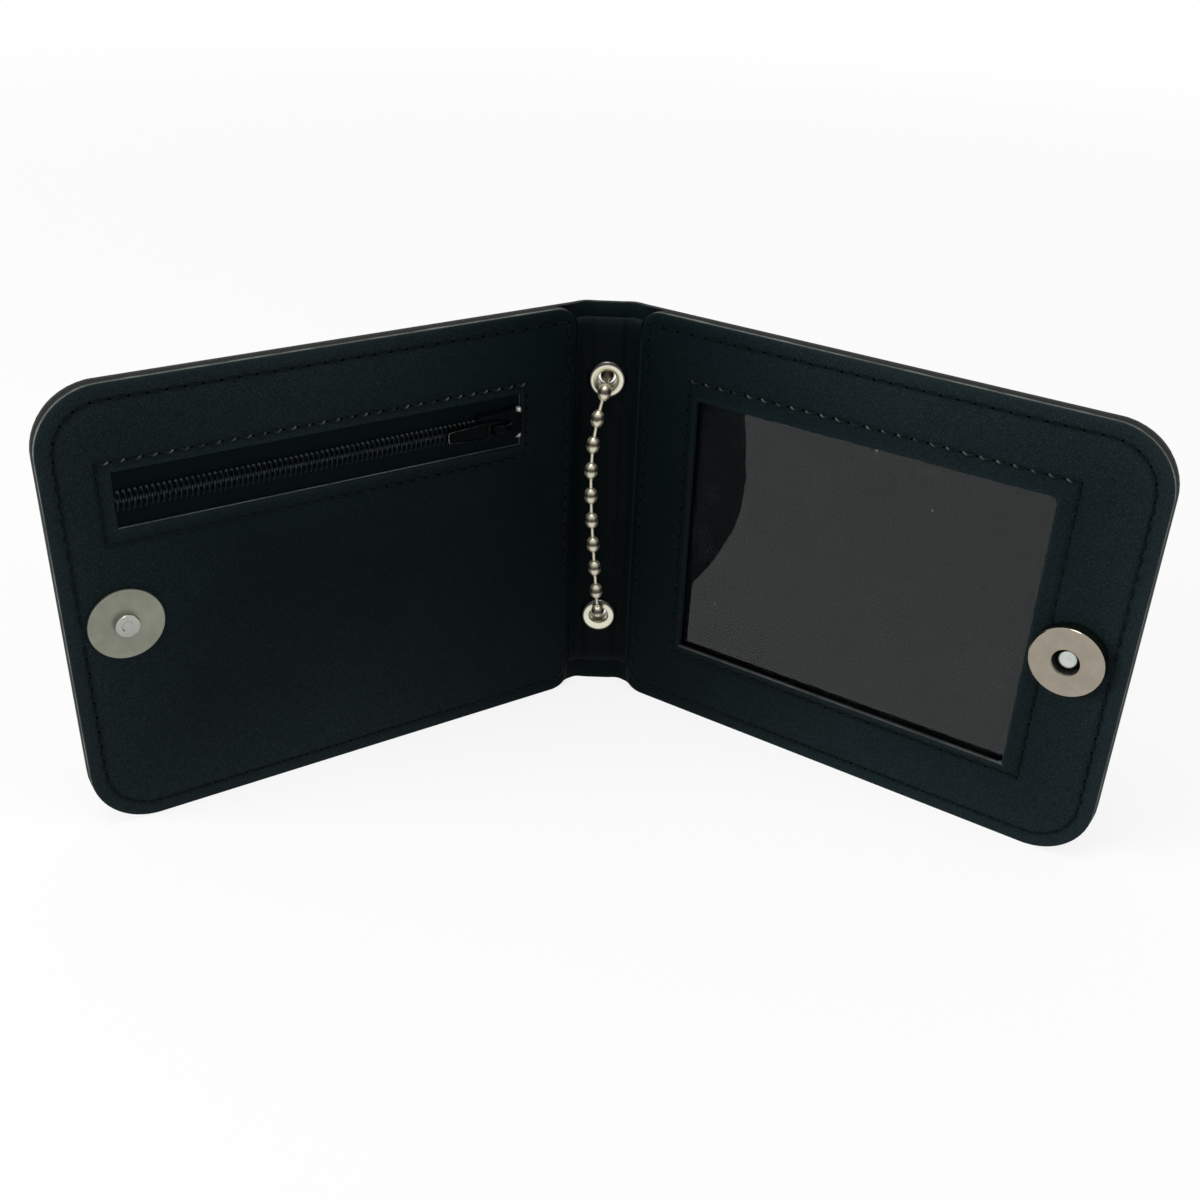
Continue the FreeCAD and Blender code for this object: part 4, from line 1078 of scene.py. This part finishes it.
def solid_finish(name, dark, light, metallic, roughness, scale):
    """Plain finish for a solid of the frame that is mostly covered: a mottled tone and a fine grit."""
    plain = Finish(name)
    place = plain.node("ShaderNodeTexCoord", out=3)
    mottle = plain.noise(place, scale, 4.0, 0.6)
    grit = plain.noise(place, scale * 8, 2.0)
    return plain.surface({
        "Base Color": plain.mix(mottle, dark, light),
        "Metallic": metallic,
        "Roughness": roughness + 0.15 * (mottle - 0.5),
        "Normal": plain.bump(grit, 0.00002, 0.5),
    })


ferrite = solid_finish("ferrite_magnet", (0.006, 0.006, 0.006, 1), (0.022, 0.021, 0.02, 1), 0.0, 0.6, 900.0)
washer_steel = solid_finish("washer_steel", (0.3, 0.3, 0.28, 1), (0.45, 0.45, 0.43, 1), 1.0, 0.38, 700.0)
dress("socket_magnet", ferrite)
for node in ("stud_backing", "socket_backing"):
    dress(node, washer_steel)

# Eyelets
# Two drawn nickel-plated eyelets pressed through the spine, rolled to a round flange inside.
# Each is split and spread over a flat washer at the back of the hide.
# Painted reflection and painted shade: the rolled flange is darkened in a band as a painted reflection of the dark
# leather round it, lighter again at its lip as a painted highlight, and the barrel is darkened inside as painted
# shade.
ROLL_PAINTED_REFLECTION = (3.2 * MM, 3.4 * MM)
LIP_PAINTED_HIGHLIGHT = (3.8 * MM, 3.95 * MM)
THROAT_PAINTED_SHADE = 0.8

nickel = plated_finish("eyelet_nickel", (0.8, 0.78, 0.63, 1), (0.69, 0.67, 0.53, 1), 0.24, 0.08, 0.000006, 0.0,
                       (0.045, 0.045, 0.048, 1))
eyelet_profile = [(1.9, -1.45), (2.35, -1.5), (2.95, -1.3), (3.05, -1.12), (2.25, -1.05), (2.25, 1.45), (3.85, 1.45),
                  (3.96, 1.55), (3.98, 1.68), (3.93, 1.83), (3.84, 1.98), (3.68, 2.13), (3.5, 2.23), (3.35, 2.28),
                  (3.2, 2.29), (2.95, 2.24), (2.6, 2.15), (2.3, 2.05), (2.1, 1.93), (1.98, 1.74), (1.92, 1.45),
                  (1.9, 1.1), (1.9, 0.6), (1.9, 0.0), (1.9, -1.45)]
for name, height in zip(("upper", "lower"), EYELET_HEIGHTS):
    centre = (0.0, FOLD_Y, height)
    points, faces = turned(eyelet_profile, centre, (0, -1, 0))
    away = np.hypot(points[:, 0], points[:, 2] - height)
    # Painted reflection band on the flange, and painted shade inside the barrel.
    ring_painted_reflection = eased(away, *ROLL_PAINTED_REFLECTION) * (1 - 0.5 * eased(away, *LIP_PAINTED_HIGHLIGHT))
    throat = THROAT_PAINTED_SHADE * np.clip((points[:, 1] - FOLD_Y + 1.0 * MM) / (1.0 * MM), 0, 1)
    eyelet = piece(name + "_rolled_eyelet", points, faces, [nickel], None, points - np.array(centre),
                   np.clip(ring_painted_reflection + throat, 0, 1), crisp=50.0)
    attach(eyelet, "spine")
    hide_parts(name + "_eyelet")
    dress(name + "_eyelet_washer", washer_steel)

# Ball chain
# Nickel-plated brass balls, 3 mm across and 5.8 mm apart, each rolled round the knobs of two short pins.
# It hangs slack between the eyelets; the rest of its 766 mm lies coiled behind the spine, joined by a sleeve clasp.
BEAD = 1.5 * MM
BEAD_PITCH = 5.8 * MM
PIN = 0.37 * MM
PIN_START = 1.1 * MM
SPAN_KEEP = 0.95
LAY_MIDDLE = (10.0, 46.0)
LAY_INNER = 11.0
LAY_STEP = 1.75
LAY_LOW = 1.55
LAY_HIGH = 5.05
HALF_TURNS = 11
MIDDLE_TURN = HALF_TURNS // 2
POINTS_A_HALF = 8
CLASP_OUT = -13.25
CLASP_RADIUS = 2.08 * MM
CLASP_SHEET = 0.45 * MM
CLASP_PINCH = 0.22 * MM


def spline_line(name, route):
    """Points along the smooth line of a route, read from its own NURBS spline."""
    curve = bpy.data.curves.new(name, "CURVE")
    curve.dimensions = "3D"
    curve.resolution_u = 10
    spline = curve.splines.new("NURBS")
    spline.points.add(len(route) - 1)
    for point, place in zip(spline.points, route):
        point.co = (*place, 1.0)
    spline.order_u = 3
    spline.use_endpoint_u = True
    holder = bpy.data.objects.new(name, curve)
    bpy.context.scene.collection.objects.link(holder)
    shown = holder.evaluated_get(bpy.context.evaluated_depsgraph_get())
    mesh = bpy.data.meshes.new_from_object(shown)
    line = np.array([vertex.co for vertex in mesh.vertices])
    bpy.data.objects.remove(holder)
    bpy.data.meshes.remove(mesh)
    return line


def lengths_along(line):
    """Length of a line up to each of its points."""
    return np.concatenate([[0], np.cumsum(np.linalg.norm(np.diff(line, axis=0), axis=1))])


def points_along(line, wanted):
    """Points of a line at the wanted lengths along it."""
    return np.stack([np.interp(wanted, lengths_along(line), column) for column in line.T], 1)


def stations_on(line, pitch):
    """Bead centres at a steady pitch along a line, with the odd length shared between its two ends; and its length."""
    length = lengths_along(line)[-1]
    count = int(length / pitch) + 1
    first = (length - (count - 1) * pitch) / 2
    return points_along(line, first + pitch * np.arange(count)), length


def bead_mesh(centre, heading, sides=20):
    """One rolled ball: slightly long, with a round lip and a sunk eye at each end for its pins."""
    profile = [(0.0, -1.5), (0.5, -1.5), (0.52, -1.68), (0.62, -1.74)]
    profile += [(1.42 * math.cos(a) ** 0.8, 1.78 * math.sin(a)) for a in np.radians(range(-66, 67, 12))]
    profile += [(0.62, 1.74), (0.52, 1.68), (0.5, 1.5), (0.0, 1.5)]
    return turned(profile, centre, heading, sides)


def pin_mesh(first, second):
    """Straight pin between two balls."""
    heading = (second - first) / np.linalg.norm(second - first)
    inner = first + heading * PIN_START
    outer = second - heading * PIN_START
    return swept([inner, (inner + outer) / 2, outer], [PIN, PIN, PIN], 10)


def painted_reflection_band(points, middle):
    """Painted reflection: a dark band round the upper half of a ball."""
    height = (points[:, 2] - middle[2]) / BEAD
    return eased(height, -0.14, -0.02) * (1 - eased(height, 0.4, 0.85))


def chain_mesh(centres):
    """Balls and pins of a run of chain as one mesh, and where its painted reflection band lies."""
    headings = np.gradient(centres, axis=0)
    balls = [bead_mesh(centre, heading) for centre, heading in zip(centres, headings)]
    pins = [pin_mesh(first, second) for first, second in zip(centres, centres[1:])]
    painted_band = [painted_reflection_band(points, centre) for (points, _), centre in zip(balls, centres)]
    painted_band += [np.zeros(len(points)) for points, _ in pins]
    return *joined(balls + pins), np.concatenate(painted_band)


def in_front(route):
    """Route points, given in mm from the plane of the folds, in metres in the wallet's frame."""
    return [(x * MM, y * MM + FOLD_Y, z * MM) for x, y, z in route]


# Painted reflection: the last colour is the dark tone of the band round each ball's upper half.
chain_nickel = plated_finish("chain_nickel", (0.71, 0.67, 0.52, 1), (0.6, 0.565, 0.43, 1), 0.3, 0.08, 0.000006, 0.0,
                             (0.085, 0.062, 0.055, 1), 0.72)
span_route = in_front([(0, 2.2, 72.9), (0, -4.2, 72.9), (-1.7, -5.0, 66.6), (-2.8, -5.2, 57.6), (-2.6, -5.2, 48.0),
                       (-1.9, -5.1, 38.0), (-1.0, -4.9, 28.0), (0, -4.6, 17.2), (0, 2.2, 17.2)])
span_line = spline_line("chain_span", span_route)
span_centres, _ = stations_on(span_line, BEAD_PITCH)
span_headings = np.gradient(span_centres, axis=0)


def hang(name, made, middle, node):
    """A ball or pin of the hanging stretch, with a mesh of its own."""
    points, faces = made
    painted_band = painted_reflection_band(points, middle) if "ball" in name else np.zeros(len(points))
    hung = piece(name, points, faces, [chain_nickel], None, points - middle, painted_band, crisp=50.0)
    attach(hung, "spine")
    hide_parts(node)
    anchor = (middle[0] - middle[0] / (1 - SPAN_KEEP), middle[1], middle[2])
    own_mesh(hung)


for i, (centre, heading) in enumerate(zip(span_centres, span_headings)):
    hang(f"chain_span_ball_{i + 1:02d}", bead_mesh(centre, heading, 28), centre, "chain_span_beads")
for i, (first, second) in enumerate(zip(span_centres, span_centres[1:])):
    hang(f"chain_span_pin_{i + 1:02d}", pin_mesh(first, second), (first + second) / 2, "chain_span_links")

upper_route = [(0, 2.2, 72.9), (0, 9.2, 72.3), (0.3, 14.6, 67.3), (1.0, 16.6, 60.2), (3.2, 17.2, 48.5),
               (6.6, 17.8, 36.0), (11.5, 19.0, 24.5), (17.6, 21.8, 14.2), (23.6, 26.6, 6.4), (29.75, 34.0, LAY_LOW),
               (29.75, 43.0, LAY_LOW)]
for half in range(HALF_TURNS):
    side = 1 if half % 2 == 0 else -1
    radius = (LAY_INNER + LAY_STEP * abs(half - MIDDLE_TURN)) / math.cos(math.pi / (2 * POINTS_A_HALF))
    shift = -LAY_STEP * (1 if side < 0 else 2 if half > MIDDLE_TURN else 0)
    for k in range(POINTS_A_HALF):
        share = k / POINTS_A_HALF
        angle = math.pi * share
        rise = 0.0 if half < MIDDLE_TURN else 1.0 if half > MIDDLE_TURN else eased(share, 0.0, 1.0)
        upper_route.append((LAY_MIDDLE[0] + shift + side * radius * math.cos(angle),
                            LAY_MIDDLE[1] + side * radius * math.sin(angle),
                            LAY_LOW + (LAY_HIGH - LAY_LOW) * rise))
upper_route += [(CLASP_OUT, 46.0, LAY_HIGH), (CLASP_OUT, 42.5, LAY_HIGH), (CLASP_OUT, 39.5, LAY_HIGH)]
lower_route = [(CLASP_OUT, 36.5, LAY_HIGH), (CLASP_OUT, 29.0, LAY_HIGH), (-10.0, 22.1, 8.0), (-3.2, 17.3, 14.2),
               (0, 10.6, 17.2), (0, 2.2, 17.2)]


def clasp_mesh(mouth, far):
    """Sprung sleeve with a slit along its top and eyes pinched in at both ends to hold the last balls."""
    rings = []
    for share in (0.0, 0.03, 0.1, 0.2, 0.35, 0.5, 0.65, 0.8, 0.9, 0.97, 1.0):
        outer = CLASP_RADIUS - CLASP_PINCH * (abs(2 * share - 1) ** 8)
        along = mouth.y + (far.y - mouth.y) * share
        ring = []
        for radius, angles in ((outer, range(24, 337, 12)), (outer - CLASP_SHEET, range(336, 23, -12))):
            for angle in np.radians(angles):
                ring.append((mouth.x + radius * math.sin(angle), along, mouth.z + radius * math.cos(angle)))
        rings.append(ring)
    return lofted(rings)


clasp_mouth = Vector(in_front([(CLASP_OUT, 43.0, LAY_HIGH)])[0])
clasp_far = Vector(in_front([(CLASP_OUT, 33.0, LAY_HIGH)])[0])
clasp_points, clasp_faces = clasp_mesh(clasp_mouth, clasp_far)
clasp = piece("chain_sleeve_clasp", clasp_points, clasp_faces, [chain_nickel], None,
              clasp_points - np.array(clasp_mouth), crisp=35.0)
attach(clasp, "spine")
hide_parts("chain_clasp")

for name, route, nodes in (("chain_coiled_length", upper_route, ("chain_upper_run", "chain_coil")),
                           ("chain_return_length", lower_route, ("chain_lower_run",))):
    line = spline_line(name, in_front(route))
    centres, length = stations_on(line, BEAD_PITCH)
    points, faces, painted_band = chain_mesh(centres)
    chain = piece(name, points, faces, [chain_nickel], None, points, painted_band, crisp=50.0)
    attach(chain, "spine")
    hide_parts(*nodes)
    name == "chain_coiled_length"

# Sewing
# Black waxed thread, 0.5 mm thick, through both leaves and the hide: eight stitches to the inch, nine round the slot.
# Each stitch dives into a needle hole at both ends and lies in a slight zig-zag in the groove that it draws.
STITCH = 3.2 * MM
SLOT_STITCH = 2.8 * MM
ZIGZAG = 0.2 * MM
ZIGZAG_TURN = 0.36
STITCH_SHARES = (0.0, 0.08, 0.2, ZIGZAG_TURN, 0.5, 0.64, 0.8, 0.92, 1.0)
STITCH_SIDES = 8
STITCH_TRIM = 0.3 * MM
STITCH_SINK = 0.36
STITCH_ARCH = 0.3
# Painted highlight: the share of each stitch painted pale on its crest, along its length.
SHINE_SHARES = (0.0, 0.08, 0.26, 0.4, 1.0)
SHINE = (0.3, 1.0, 1.0, 0.1, 0.0)
THREAD = 0.24 * MM
HOLE = 0.3 * MM
HOLE_STRETCH = 1.25
HOLE_RINGS = ((0.3, -0.12), (1.0, -0.02), (0.85, 0.035), (0.3, 0.05))
SEAM_DRAW = 0.14
SEAM_SINK = 0.02 * MM


def thread_finish():
    """Twisted thread, black, with a painted highlight on the short strokes where the rim attribute is set."""
    thread = Finish("waxed_black_thread")
    place = thread.attribute("flat", out=1)
    twist = thread.noise(place, 5200.0, 2.0)
    painted_glint_and_mottle = thread.noise(place, 420.0, 2.0)
    dark = thread.mix(painted_glint_and_mottle, (0.0007, 0.0019, 0.0023, 1), (0.0034, 0.0056, 0.0062, 1))
    shining = thread.attribute("rim") * thread.range(painted_glint_and_mottle, 0.38, 0.6, 0.12, 1.0)
    return thread.surface({
        "Base Color": thread.mix(shining, dark, (0.085, 0.1, 0.096, 1)),
        "Roughness": 0.25 + 0.2 * twist,
        "Specular IOR Level": 0.05,
        "Normal": thread.bump(twist, 0.00006, 0.8),
    })


def needle_holes(path, pitch):
    """Evenly pitched holes along a needle path, one at each end."""
    path = np.asarray(path)
    length = lengths_along(path)[-1]
    return points_along(path, np.linspace(0, length, max(1, round(length / pitch)) + 1))


def hole_finish():
    """Painted shade of a needle hole: near black, with a little fray."""
    pit = Finish("needle_hole_shadow")
    place = pit.attribute("flat", out=1)
    fray = pit.noise(place, 6000.0, 2.0)
    return pit.surface({
        "Base Color": pit.mix(fray, (0.0004, 0.0006, 0.0006, 1), (0.0016, 0.002, 0.002, 1)),
        "Roughness": 0.85 + 0.1 * fray,
        "Specular IOR Level": 0.0,
    })


def stitch_line(first, run, length, level, outward):
    """Middle line and radii of a stitch: it dives into the hole at both ends and zig-zags between them."""
    beside = np.array([-run[1], run[0]])
    line = []
    radii = []
    for share in STITCH_SHARES:
        arch = math.sin(math.pi * share) ** 0.5 if 0 < share < 1 else 0.0
        aside = np.interp(share, (0.0, ZIGZAG_TURN, 1.0), (ZIGZAG, -ZIGZAG, ZIGZAG))
        along = first + run * (STITCH_TRIM + (length - 2 * STITCH_TRIM) * share) + beside * aside
        line.append((*along, level + outward * (STITCH_ARCH * arch - STITCH_SINK) * MM))
        radii.append(THREAD * (0.72 + 0.28 * arch))
    return line, radii


def needle_pit(middle, run, level, outward):
    """Dark disc of painted shade over a needle hole, a little longer along the seam than across it."""
    beside = np.array([-run[1], run[0]])
    turns = np.radians(range(0, 360, 36))
    return lofted([[(*(middle + HOLE * reach * (HOLE_STRETCH * math.cos(a) * run + math.sin(a) * beside)),
                     level + outward * (lift - SEAM_DRAW) * MM) for a in turns] for reach, lift in HOLE_RINGS])


def sewn(name, side, seams, level, outward, left_out=None, glinting_seams=(), pitch=STITCH):
    """Stitches of some seams as a mesh on a face of a cover: level is that face, outward which way it looks."""
    parts = []
    kinds = []
    painted_glint_and_mottle = []
    for i, seam in enumerate(seams):
        # Painted highlight: on the seams set to glint, the rising end of each stitch is paler on its crest.
        shine = np.interp(STITCH_SHARES, SHINE_SHARES, SHINE) * (i in glinting_seams)
        holes = needle_holes(seam, pitch)
        for first, second in zip(holes, holes[1:]):
            if left_out is not None and np.hypot(*((first + second) / 2 - left_out[:2])) < left_out[2]:
                continue
            length = np.linalg.norm(second - first)
            run = (second - first) / length
            line, radii = stitch_line(first, run, length, level, outward)
            tube = swept(line, radii, STITCH_SIDES)
            pit = needle_pit(first, run, level, outward)
            crest = outward * (tube[0][:, 2] - np.repeat(np.array(line)[:, 2], STITCH_SIDES)) / THREAD
            parts += [tube, pit]
            kinds += [0] * len(tube[1]) + [1] * len(pit[1])
            painted_glint_and_mottle += list(np.repeat(shine, STITCH_SIDES) * np.clip(crest * 2 - 0.5, 0, 1)) + [0.0] * len(pit[0])
    flat, faces = joined(parts)
    made = piece(name, placed(side, flat), faces, [thread, needle_hole], kinds, flat, painted_glint_and_mottle, crisp=60.0)
    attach(made, COVER_BODY[side])


needle_hole = hole_finish()
thread = thread_finish()
snap_cover = (SNAP_OUT, SNAP_UP, SNAP_RADIUS + 0.9 * MM)
for side, made in leaves.items():
    name = COVER_NAME[side]
    sewn(name + "_edge_stitches", side, cover_seams, LEAF_FACE - SEAM_SINK, 1, snap_cover)
    sewn(name + "_opening_stitches", side, made["seams"], LEAF_FACE - SEAM_SINK, 1, snap_cover, glinting_seams=(0,),
         pitch=SLOT_STITCH if side == LEFT else STITCH)
    sewn(name + "_back_stitches", side, cover_seams, -HIDE_HALF + SEAM_SINK, -1)

# Floor, light and camera
# A pale floor that runs out to white, a soft lamp overhead and in front, one at each side, and a white surround.
# The camera stands where the photograph was taken from.
FLOOR = 3.0


def surround_strength(finish):
    """One where a surface or the world is seen, in a mirror or glass too, and nought where it only lights."""
    seen = finish.node("ShaderNodeLightPath", out=0)
    mirrored = finish.node("ShaderNodeLightPath", out=3)
    through = finish.node("ShaderNodeLightPath", out=6)
    return seen.math("MAXIMUM", seen, seen.math("MAXIMUM", mirrored, through))


floor_finish = Finish("studio_floor")
shaded = floor_finish.node("ShaderNodeBsdfDiffuse", None, {"Color": (0.86, 0.86, 0.85, 1)})
white = floor_finish.node("ShaderNodeEmission", None, {"Color": (1, 1, 1, 1), "Strength": 1.0})
away = floor_finish.node("ShaderNodeVectorMath", {"operation": "LENGTH"},
                         {0: floor_finish.attribute("flat", out=1)}, out=1)
run_out = floor_finish.range(away, 0.25, 1.1, 0.82, 1.0)
floor_finish.output(floor_finish.node("ShaderNodeMixShader", None,
                                      {0: run_out * surround_strength(floor_finish), 1: shaded, 2: white}))
floor_corners = [(-FLOOR, -FLOOR, 0), (FLOOR, -FLOOR, 0), (FLOOR, FLOOR, 0), (-FLOOR, FLOOR, 0)]
floor = piece("studio_floor", floor_corners, [(0, 1, 2, 3)], [floor_finish.material])

sky = Finish("white_surround", bpy.data.worlds)
strength = sky.range(surround_strength(sky), 0.0, 1.0, 0.42, 1.0)
sky.node("ShaderNodeOutputWorld", None, {0: sky.node("ShaderNodeBackground", None, {0: (1, 1, 1, 1), 1: strength})})
bpy.context.scene.world = sky.material


def lamp(name, place, target, size, power, shines=True):
    """Square soft lamp at a place, turned to a target; one that doesn't shine leaves no spot on gloss."""
    light = bpy.data.lights.new(name, "AREA")
    light.shape = "SQUARE"
    light.size = size
    light.energy = power
    made = bpy.data.objects.new(name, light)
    made.location = place
    made.rotation_euler = (Vector(target) - Vector(place)).to_track_quat("-Z", "Y").to_euler()
    made.visible_glossy = shines
    bpy.context.scene.collection.objects.link(made)


lamp("overhead_lamp", (-0.08, -0.22, 0.95), (0, 0, 0.03), 0.36, 3.2)
lamp("left_lamp", (-1.0, -0.36, 0.34), (0.04, 0, 0.04), 0.5, 10.5, False)
lamp("right_lamp", (1.0, -0.4, 0.4), (-0.04, 0, 0.04), 0.5, 4.0, False)

camera_data = bpy.data.cameras.new("photo_camera")
camera_data.lens = 41.909
camera_data.sensor_width = 36.0
camera_data.sensor_fit = "HORIZONTAL"
camera_data.clip_start = 0.01
camera = bpy.data.objects.new("photo_camera", camera_data)
right = Vector((0.99934393, 0.01385763, 0.03346159))
upright = Vector((-0.03595907, 0.48982944, 0.87107638))
ahead = Vector((0.00431942, 0.87170814, -0.49000639))
stand = Matrix((right, upright, -ahead)).transposed().to_4x4()
stand.translation = Vector((-1.1122, -243.4828, 173.9541)) * MM
camera.matrix_world = stand
bpy.context.scene.collection.objects.link(camera)
bpy.context.scene.camera = camera
bpy.context.scene.view_settings.view_transform = "Standard"
